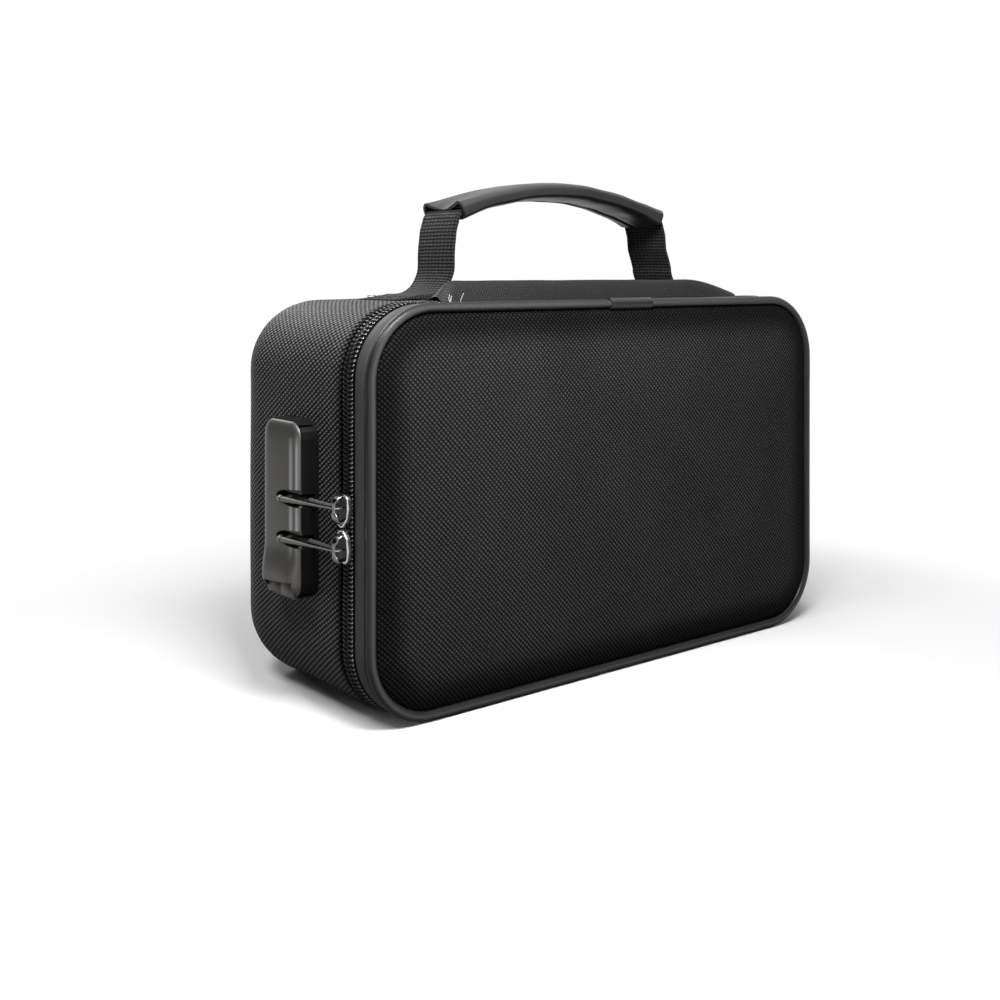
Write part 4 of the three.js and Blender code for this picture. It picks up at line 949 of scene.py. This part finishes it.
# The middle is filled in the order of its points, so that it is cut into the same triangles each run.
round_middle = sorted(verts, key=lambda v: atan2(v.co.y, v.co.x))
bmesh.ops.triangulate(bm, faces=[bm.faces.new(round_middle)])
for v in bm.verts:
    v.co.z += clamped((v.co.z - 122.0) / 1.5) * hump_at(v.co.x)
cut_across(bm, (NOTCH_TOP, NOTCH_FRONT, 0), (1, NOTCH_LEAN, 0))
for y in (NOTCH_FRONT, NOTCH_REAR):
    cut_across(bm, (0, y, 0))
notch = []
for f in bm.faces:
    at = f.calc_center_median()
    if at.x < NOTCH_TOP - NOTCH_LEAN * (at.y - NOTCH_FRONT) and NOTCH_FRONT < at.y < NOTCH_REAR:
        notch.append(f)
bmesh.ops.delete(bm, geom=notch, context="FACES")
for level in PULL_LEVELS:
    trim_slot(bm, level)
face_along(bm, 2, 1)
thicken(bm, 0.6)
turn_about(bm, "Y", -90)
move(bm, (0, LOCK_MID_Y, LOCK_MID_Z))
make_piece("lock_cover_pressing", bm, gunmetal, "case", ["lock_cover"])

# The thumb slide is a small block with a groove down its face. Its lower edge is rolled over.
PAD_W = 17.3
PAD_H = 5.6
bm = bmesh.new()
bmesh.ops.create_cube(bm, size=1)
stretch(bm, (1.5, PAD_W, PAD_H))
low_edge = [e for e in bm.edges if all(v.co.x < 0 and v.co.z < 0 for v in e.verts)]
round_edges(bm, low_edge, 1.3, 6)
for y in (-0.35, 0.35, -1.1, 1.1):
    cut_across(bm, (0, y, 0))
groove = [v for v in bm.verts if abs(v.co.y) < 0.5 and v.co.x < 0 and v.co.z > -2.6]
move(bm, (0.35, 0, 0), groove)
rim = [e for e in bm.edges if e.calc_face_angle(0) > 1.2]
round_edges(bm, rim, 0.18, 2)
for v in bm.verts:
    upper = max(0, v.co.z) / (PAD_H / 2)
    v.co.z -= NOTCH_LEAN * (v.co.y + PAD_W / 2) * upper
    if v.co.x < 0:
        # its upper corners are thinner, and pass under the cover's rolled edge
        v.co.x += upper * (0.15 + 0.6 * max(0, abs(v.co.y) - 5.0) / 3.65)
move(bm, (-122.95, LOCK_MID_Y + (NOTCH_FRONT + NOTCH_REAR) / 2, 42.35))
face_out(bm)
make_piece("thumb_pad", bm, gunmetal, "lock_slide", ["thumb_slide"], sharp=35)

steel = grain_material("plain steel", (0.50, 0.50, 0.51), 0.5, 0.004, 0.30, metal=1.0)
wheel_plastic = grain_material("wheel plastic", (0.03, 0.03, 0.033), 0.6, 0.006, 0.35)
number_paint = grain_material("pale number paint", (0.62, 0.62, 0.58), 0.4, 0.002, 0.5)
for name in (
    "hasp_bar", "slide_detent_spring", "wheel_spindle", "lock_back_plate", "lock_screw_1", "lock_screw_2",
):
    paint_solid(name, steel)

# Three number wheels stand in the lock's rear edge, each with ten raised digits round its rim.
WHEEL_LEVELS = (59.3, 65.9, 72.5)
WHEEL_R = 3.47
WHEEL_AXIS = (-119.0, 3.0)
for n, level in enumerate(WHEEL_LEVELS, 1):
    paint_solid(f"number_wheel_{n}", wheel_plastic)
    numbers = bmesh.new()
    for digit in range(10):
        curve = bpy.data.curves.new("digit", "FONT")
        curve.body = str(digit)
        curve.size = 1.9
        curve.extrude = 0.06
        curve.resolution_u = 3
        curve.align_x = curve.align_y = "CENTER"
        drawn = bpy.data.objects.new("digit", curve)
        bpy.context.scene.collection.objects.link(drawn)
        seen = drawn.evaluated_get(bpy.context.evaluated_depsgraph_get())
        shape = bpy.data.meshes.new_from_object(seen)
        before = len(numbers.verts)
        numbers.from_mesh(shape)
        numbers.verts.ensure_lookup_table()
        verts = numbers.verts[before:]
        turn_about(numbers, "X", 90, verts)
        move(numbers, (0, -WHEEL_R, 0), verts)
        turn_about(numbers, "Z", 36 * (digit + 0.5), verts)
        bpy.data.objects.remove(drawn)
        bpy.data.curves.remove(curve)
        bpy.data.meshes.remove(shape)
    move(numbers, (*WHEEL_AXIS, level))
    make_piece(f"wheel_numbers_{n}", numbers, number_paint, f"wheel_{n}", sharp=30)


# Zip sliders and pull loops
# Two die-cast sliders meet nose to nose. Each has a polished rim round a dark hollow, a bridge over it,
# and a loop of tapered wire on the bridge, whose tip lies in a slot of the lock.
slider_rim = grain_material("polished zinc", (0.55, 0.55, 0.54), 0.5, 0.002, 0.22, metal=1.0)
slider_dark = grain_material("black chrome", (0.18, 0.18, 0.18), 0.5, 0.002, 0.22, metal=1.0)
wire_metal = grain_material("pull wire", (0.16, 0.157, 0.15), 0.5, 0.002, 0.42, metal=0.6)

SLIDER_OUTLINE = [(0.0, 0.9), (2.8, 3.6), (6.7, 4.5), (10.2, 3.9), (11.2, 2.4)]
SLIDER_L = 11.2
PLATE_TOP = 117.5
PLATE_T = 1.5
RIM_W = 1.0
HOLLOW = 0.55
PULL_AXIS_X = -118.9
SLIDER_MEET = 65.9
PULL_L = 27.0
PULL_LEAN = 2.3
TIP_R = 3.0
TURN_R = 1.6


def swept(segments, length, steps, half_wide, half_thick, ends=True):
    """A straight bar along x with an oval section. Its half sizes come from the distance along it."""
    bm = bmesh.new()
    bmesh.ops.create_circle(bm, segments=segments, radius=1)
    turn_about(bm, "Y", 90)
    edges = bm.edges[:]
    if ends:
        fill(bm, edges)
    for n in range(steps):
        verts, edges = grow(bm, edges)
        move(bm, (length / steps, 0, 0), verts)
    if ends:
        fill(bm, edges)
    for v in bm.verts:
        v.co.y *= half_wide(v.co.x)
        v.co.z *= half_thick(v.co.x)
    return bm


def slider_plate():
    """The slider's shield-shaped plate, nose at x = 0, with a hollow inside its rounded rim."""
    bm = bmesh.new()
    outline_points = SLIDER_OUTLINE + [(x, -w) for x, w in reversed(SLIDER_OUTLINE)]
    corners = [bm.verts.new((x, w, PLATE_TOP - PLATE_T)) for x, w in outline_points]
    fill(bm, corners)
    round_edges(bm, bm.verts[:], 0.75, 4, "VERTICES")
    merge(bm, 0.02)
    sides = bmesh.ops.extrude_face_region(bm, geom=bm.faces[:])["geom"]
    top = [g for g in sides if isinstance(g, bmesh.types.BMFace)]
    move(bm, (0, 0, PLATE_T), [g for g in sides if isinstance(g, bmesh.types.BMVert)])
    bmesh.ops.inset_region(bm, faces=top, thickness=RIM_W, use_even_offset=True)
    hollow = bmesh.ops.extrude_face_region(bm, geom=top)["geom"]
    bmesh.ops.delete(bm, geom=top, context="FACES")
    move(bm, (0, 0, -HOLLOW), [g for g in hollow if isinstance(g, bmesh.types.BMVert)])
    on_top = [e for e in bm.edges if all(abs(v.co.z - PLATE_TOP) < 0.01 for v in e.verts)]
    rim = [e for e in on_top if e.calc_face_angle(0) > 0.8]
    round_edges(bm, rim, 0.36, 3)
    face_out(bm)
    for f in bm.faces:
        if all(v.co.z < PLATE_TOP - 0.5 for v in f.verts) and f.calc_center_median().z > PLATE_TOP - 0.7:
            f.material_index = 1
    # the back plate and the post that joins the two
    for size, place in (((SLIDER_L, 7.4, 0.8), (SLIDER_L / 2, 0, 113.0)), ((2.5, 1.0, 3.2), (1.5, 0, 114.5))):
        cube = bmesh.ops.create_cube(bm, size=1)["verts"]
        stretch(bm, size, cube)
        edges = [e for e in bm.edges if e.verts[0] in cube and e.verts[1] in cube]
        move(bm, place, cube)
        round_edges(bm, edges, 0.2, 2)
    return bm


def slider_bridge():
    """The arched bridge, broad at its feet and narrow where the loop turns on it."""
    arch = [(1.9, -0.3), (2.0, 0.6), (2.5, 1.6), (3.4, 2.2), (4.6, 2.45), (6.7, 2.5), (8.6, 2.45)]
    arch += [(9.6, 2.15), (10.3, 1.5), (10.6, 0.6), (10.6, -0.3)]
    line = measured([xz(x, PLATE_TOP + z) for x, z in arch])
    middle = line[1][5]
    bm = swept(
        20, line[1][-1], 44,
        lambda s: 0.85 + 1.15 * clamped((abs(s - middle) - 0.9) / 1.8) ** 1.5,
        lambda s: 0.62,
    )
    bend_along(bm, line)
    face_out(bm)
    return bm


def pull_loop():
    """A pear-shaped ring of wire, thick at its tip and thin on the slider."""
    along = degrees(atan2(-PULL_LEAN, PULL_L))
    flare = degrees(asin((TIP_R - TURN_R) / hypot(PULL_L, PULL_LEAN)))
    points = arc(PULL_L, -PULL_LEAN, TIP_R, along - 90 - flare, along + 90 + flare, 14)
    on_slider = arc(0, 0, TURN_R, along + 90 + flare, along + 270 - flare, 12)
    points += [points[-1].lerp(on_slider[0], n / 8) for n in range(1, 8)] + on_slider
    points += [on_slider[-1].lerp(points[0], n / 8) for n in range(1, 9)]
    line = measured(points)
    line[2][0] = line[2][-1] = (line[2][0] + line[2][-1]).normalized()

    def wire_radius(s):
        n = min(max(bisect_right(line[1], s) - 1, 0), len(points) - 2)
        return 0.30 + 0.88 * clamped(points[n].x / PULL_L) ** 1.7

    bm = swept(12, line[1][-1], 96, wire_radius, wire_radius, ends=False)
    bend_along(bm, line)
    merge(bm, 0.02)
    face_out(bm)
    return bm


for name, side, level in (("upper", 1, PULL_LEVELS[0]), ("lower", -1, PULL_LEVELS[1])):
    for part, shape, finish in (
        ("plate", slider_plate(), [slider_rim, black_zinc]), ("bridge", slider_bridge(), [slider_dark]),
    ):
        if side < 0:
            turn_about(shape, "Z", 180)
        turn_about(shape, "Y", -90)
        move(shape, (0, ZIP_Y, SLIDER_MEET + 0.2 * side))
        make_piece(f"slider_{part}_{name}", shape, finish, "case", [f"slider_{name}"], sharp=35)
    shape = pull_loop()
    turn_about(shape, "Z", 90)
    turn_about(shape, "Y", 90)
    move(shape, (PULL_AXIS_X, ZIP_Y, level))
    make_piece(f"pull_wire_{name}", shape, wire_metal, f"pull_{name}", [f"pull_{name}"], sharp=60)


# Handle
# Two straps of ribbed webbing are sewn flat on the top and turn up into a grip of dark leatherette. The
# grip is rolled round the straps' ends and a felt strip, with a slit along its underside.
HANDLE_Y = -7.31
STRAP_W = 22
STRAP_T = 1.6
STRAP_FOOT_Z = 141.1
STITCH_X = (-73.5, -82.5)
STITCH_Y = (-15.6, 1.0)
RIB = 1.3

ribs, given, end = new_group(
    "webbing ribs", [("Map", None), ("Rib", RIB), ("End", 1.1)], ["Height", "Thread"],
)
calc = partial(maths, ribs)
split = wandering(ribs, given["Map"], 0.5, 0.3)
rounds = []
for n, period in ((0, "Rib"), (1, "End")):
    turns = calc("MULTIPLY", calc("DIVIDE", split[n], given[period]), pi)
    rounds.append(calc("ABSOLUTE", calc("SINE", turns)))
across = calc("MULTIPLY_ADD", calc("POWER", rounds[1], 0.6), 0.6, 0.4)
rib_height = calc("MULTIPLY", calc("POWER", rounds[0], 0.7), across)
fray = speckle(ribs, given["Map"], 1.6, 3)
rough_rib = calc("MULTIPLY_ADD", calc("SUBTRACT", fray, 0.5), 0.5, rib_height)
# The rib tops are made light in tone and the grooves dark: painted highlight and painted shade over the ribs'
# own pattern.
lit = calc("POWER", calc("MAXIMUM", rough_rib, 0.0), 2.2, clamp=True)
feed(ribs, end, Height=rough_rib, Thread=lit)

webbing, tree, shader = new_material("ribbed webbing", Sheen_Weight=0.03, Specular_IOR_Level=0.1)
lie = add(tree, "UVMap", {"uv_map": "weave"})
cloth = add(tree, "Group", {"node_tree": ribs}, Map=lie, Rib=RIB, End=2.2).outputs
tone = mix_colour(tree, cloth["Thread"], grey(0.003), grey(0.042))
dress(tree, shader, tone, maths(tree, "MULTIPLY_ADD", cloth["Thread"], -0.1, 0.68), cloth["Height"], 0.35)

thread = grain_material("black thread", (0.018, 0.018, 0.018), 0.3, 0.05, 0.5, gloss=0.25)
loose_thread = grain_material("loose white thread", (0.55, 0.54, 0.52), 0.3, 0.05, 0.6, gloss=0.2)


def sew(bm, begin, finish, lift, pitch=2.4, radius=0.2):
    """A row of short stitches between two places in x and y, on a surface at a height."""
    a, b = Vector((*begin, lift)), Vector((*finish, lift))
    count = max(1, round((b - a).length / pitch))
    for n in range(count):
        middle = a.lerp(b, (n + 0.5) / count)
        verts = bmesh.ops.create_icosphere(bm, subdivisions=1, radius=radius)["verts"]
        stretch(bm, (pitch * 0.4 / radius, 1, 0.8), verts)
        turn_about(bm, "Z", degrees(atan2(b.y - a.y, b.x - a.x)), verts)
        move(bm, middle, verts)


GRIP_HALF = 53
GRIP_HALF_W = 12.4
GRIP_HALF_T = 3.4
GRIP_RISE = 9.6
GRIP_R = (GRIP_HALF ** 2 + GRIP_RISE ** 2) / (2 * GRIP_RISE)
GRIP_TURN = degrees(asin(GRIP_HALF / GRIP_R))
GRIP_TOP_Z = 182.4
GRIP_RINGS = 84
grip_line = measured(arc(0, GRIP_TOP_Z - GRIP_R, GRIP_R, 90 - GRIP_TURN, 90 + GRIP_TURN, 40))
GRIP_LENGTH = grip_line[1][-1]

grip_leather = leather_material("grip leatherette", 0.022, 0.036, 1.1, 0.03, 0.40, 0.30)

for side in (-1, 1):
    name = "left" if side < 0 else "right"
    points = [xz(-49.7, 173.8), xz(-52, 172.9), xz(-54.2, 171.0), xz(-55.8, 165.8), xz(-56.6, 160)]
    foot_x, foot_r = (-68.5, 11.5) if side < 0 else (-70.5, 11.0)
    points += arc(foot_x, STRAP_FOOT_Z + foot_r, foot_r, 0, -90, 14)
    points += [xz(-75, STRAP_FOOT_Z), xz(-84, STRAP_FOOT_Z - 0.3)]
    line = measured(points)
    length = line[1][-1]
    bm = strip(length, HANDLE_Y - STRAP_W / 2, HANDLE_Y + STRAP_W / 2, -STRAP_T / 2, STRAP_T / 2, 0.8, 22)
    lay_flat_map(bm)
    for v in bm.verts:
        edge = abs(v.co.y - HANDLE_Y) / (STRAP_W / 2)
        v.co.z *= 1.0 + 0.25 * hill(edge, 0.93, 0.05) - 0.35 * max(0, edge - 0.97) / 0.03
        foot = clamped((v.co.x - length + 12) / 12)
        v.co.z = -STRAP_T / 2 + (v.co.z + STRAP_T / 2) * (1 - 0.75 * foot ** 0.7)
        v.co.y += 0.35 * noise.noise(Vector((v.co.x / 7, side * 3.0, edge)))
        sag = sin(pi * clamped(v.co.x / (length - 14)))
        v.co.z += 0.7 * sag * (1 - edge ** 2)
    bend_along(bm, line)
    stitches = bmesh.new()
    front, rear = STITCH_Y
    for y0, y1 in ((front, front), (rear, rear), (front, rear), (rear, front)):
        sew(stitches, (STITCH_X[0], y0), (STITCH_X[1], y1), 141.45)
    for x, lift in zip(STITCH_X, (141.5, 141.0)):
        sew(stitches, (x, front), (x, rear), lift)
    for mesh in (bm, stitches):
        if side > 0:
            stretch(mesh, (-1, 1, 1))
            bmesh.ops.reverse_faces(mesh, faces=mesh.faces)
    strap = make_piece(f"strap_webbing_{name}", bm, webbing, None, [f"strap_{name}"])
    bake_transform(strap, "case", "handle", start=(0, HANDLE_Y / 1000, 0.1435), end=(0, HANDLE_Y / 1000, 0.165))
    make_piece(f"strap_stitches_{name}", stitches, thread, "case", sharp=80)

bm = bmesh.new()
bmesh.ops.create_circle(bm, segments=88, radius=1)
for v in bm.verts:
    x, y = v.co.x, v.co.y
    v.co = (0, GRIP_HALF_W * copysign(abs(x) ** 0.6, x), GRIP_HALF_T * copysign(abs(y) ** 0.6, y))
    if v.co.z < 0:
        v.co.z += 0.9 * hill(v.co.y, 4.2, 0.55) - 0.3 * hill(v.co.y, 5.6, 0.8)
edges = bm.edges[:]
for n in range(GRIP_RINGS):
    verts, edges = grow(bm, edges)
    move(bm, (GRIP_LENGTH / GRIP_RINGS, 0, 0), verts)
for v in bm.verts:
    gap = min(v.co.x, GRIP_LENGTH - v.co.x)
    e = max(0, 1 - gap / 15) ** 1.6
    y = v.co.y
    if v.co.z > 0:
        v.co.z += e * (1.3 * hill(abs(y), 10.2, 2.4) - 2.3 * hill(y, 0, 5.5))
    else:
        v.co.z -= e * 0.5 * hill(abs(y), 10.5, 2.2)
    v.co.y = y * (1 + 0.03 * e)
    v.co.z += 0.25 * noise.noise(Vector((v.co.x / 9, y / 9, 4.4)))
move(bm, (0, HANDLE_Y, 0))
bend_along(bm, grip_line)
face_out(bm)
if bm.calc_volume(signed=True) < 0:
    bmesh.ops.reverse_faces(bm, faces=bm.faces)
thicken(bm, 1.1)
grip = make_piece("grip_wrap", bm, grip_leather, "handle", ["grip_cover"])

bm = strip(GRIP_LENGTH - 6, HANDLE_Y - 9.5, HANDLE_Y + 9.5, -0.9, 0.9, 3.0, 4)
move(bm, (3, 0, 0))
lay_flat_map(bm)
bend_along(bm, grip_line)
make_piece("grip_padding", bm, felt, "handle", ["grip_core"])

# Thread ends stand out of the seam at the hinge's left end.
bm = bmesh.new()
for n, (y, lean) in enumerate(((-45.2, 1.4), (-43.9, -0.8), (-42.4, 0.9), (-45.9, -1.6))):
    tuft = swept(5, 2.4 + n * 0.4, 7, lambda s: 0.13, lambda s: 0.13)
    for v in tuft.verts:
        up = max(0, v.co.x)
        v.co = (v.co.z - 0.10 * lean * up ** 1.4, v.co.y + 0.06 * lean * up ** 1.6, up)
    move(tuft, (-79.0 + 1.3 * n, y, 139.2))
    strand = bpy.data.meshes.new("strand")
    tuft.to_mesh(strand)
    tuft.free()
    bm.from_mesh(strand)
    bpy.data.meshes.remove(strand)
face_out(bm)
make_piece("hinge_thread_ends", bm, loose_thread, "lid", sharp=80)


# Floor and light
# A pale floor fades into a white ground. Soft boxes hang over the bag's left front, over its left and
# behind it, and a small one stands low at its left front.


def seen_by_lens(tree):
    """1 for a ray that leads to the lens, also by way of a glossy or a clear thing."""
    path = add(tree, "LightPath").outputs
    seen = maths(tree, "MAXIMUM", path["Is Camera Ray"], path["Is Glossy Ray"])
    return maths(tree, "MAXIMUM", seen, path["Is Transmission Ray"])


bm = grid(8000, 8000)
move(bm, (0, 0, -0.3))
floor_material, tree, shader = new_material("pale floor", Roughness=0.9, Specular_IOR_Level=0.1)
white = add(tree, "Emission", Color=(1, 1, 1, 1), Strength=1)
straight = add(tree, "LightPath").outputs["Is Camera Ray"]
feed(tree, shader, Base_Color=mix_colour(tree, straight, grey(0.20), grey(0.85)))
far = add(tree, "VectorMath", {"operation": "LENGTH"}, i0=here(tree)).outputs["Value"]
fade = add(tree, "MapRange", i0=far, i1=0.10, i2=0.26, i3=0.0, i4=1.0)
mixed = add(tree, "MixShader", i0=maths(tree, "MULTIPLY", fade, seen_by_lens(tree)), i1=shader, i2=white)
out_node = next(n for n in tree.nodes if n.type == "OUTPUT_MATERIAL")
feed(tree, out_node, Surface=mixed)
floor = make_piece("floor", bm, floor_material)
floor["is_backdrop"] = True

world = bpy.data.worlds.new("studio")
bpy.context.scene.world = world
world.use_nodes = True
tree = world.node_tree
tree.nodes.clear()
soft = add(tree, "Background", Color=(1, 1, 1, 1), Strength=0.04)
bright = add(tree, "Background", Color=(1, 1, 1, 1), Strength=1.0)
mixed = add(tree, "MixShader", i0=seen_by_lens(tree), i1=soft, i2=bright)
add(tree, "OutputWorld", Surface=mixed)


def soft_box(name, place, aim, width, height, watts):
    light = bpy.data.lights.new(name, "AREA")
    light.shape = "RECTANGLE"
    light.size = width
    light.size_y = height
    light.energy = watts
    lamp = bpy.data.objects.new(name, light)
    lamp.location = place
    lamp.rotation_euler = (Vector(place) - Vector(aim)).to_track_quat("Z", "Y").to_euler()
    lamp.visible_camera = False
    bpy.context.scene.collection.objects.link(lamp)


soft_box("key_light", (-0.13, -0.215, 0.365), (-0.03, -0.05, 0.10), 0.16, 0.12, 2.2)
soft_box("left_light", (-0.40, -0.06, 0.60), (-0.1, 0, 0.12), 0.20, 0.20, 2.2)
soft_box("back_light", (0.00, 0.85, 0.60), (-0.05, 0, 0.13), 0.40, 0.20, 2.4)
soft_box("rim_light", (-0.51, -0.24, 0.06), (-0.12, -0.02, 0.08), 0.05, 0.12, 0.12)

# Two black cards keep the white ground out of the dark cloth. The camera doesn't see them.
card_material = grain_material("black card", (0.01, 0.01, 0.01), 2.0, 0.05, 0.9, gloss=0.1)
for name, place, turn, width, height in (
    ("card_right", (450, -540, 230), 40, 1000, 600), ("card_left", (-580, 360, 230), 60, 1000, 600),
):
    bm = grid(width, height)
    turn_about(bm, "X", 90)
    turn_about(bm, "Z", turn)
    move(bm, place)
    card = make_piece(name, bm, card_material)
    card.visible_camera = False
    card.visible_shadow = False
    card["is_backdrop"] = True

low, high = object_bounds()
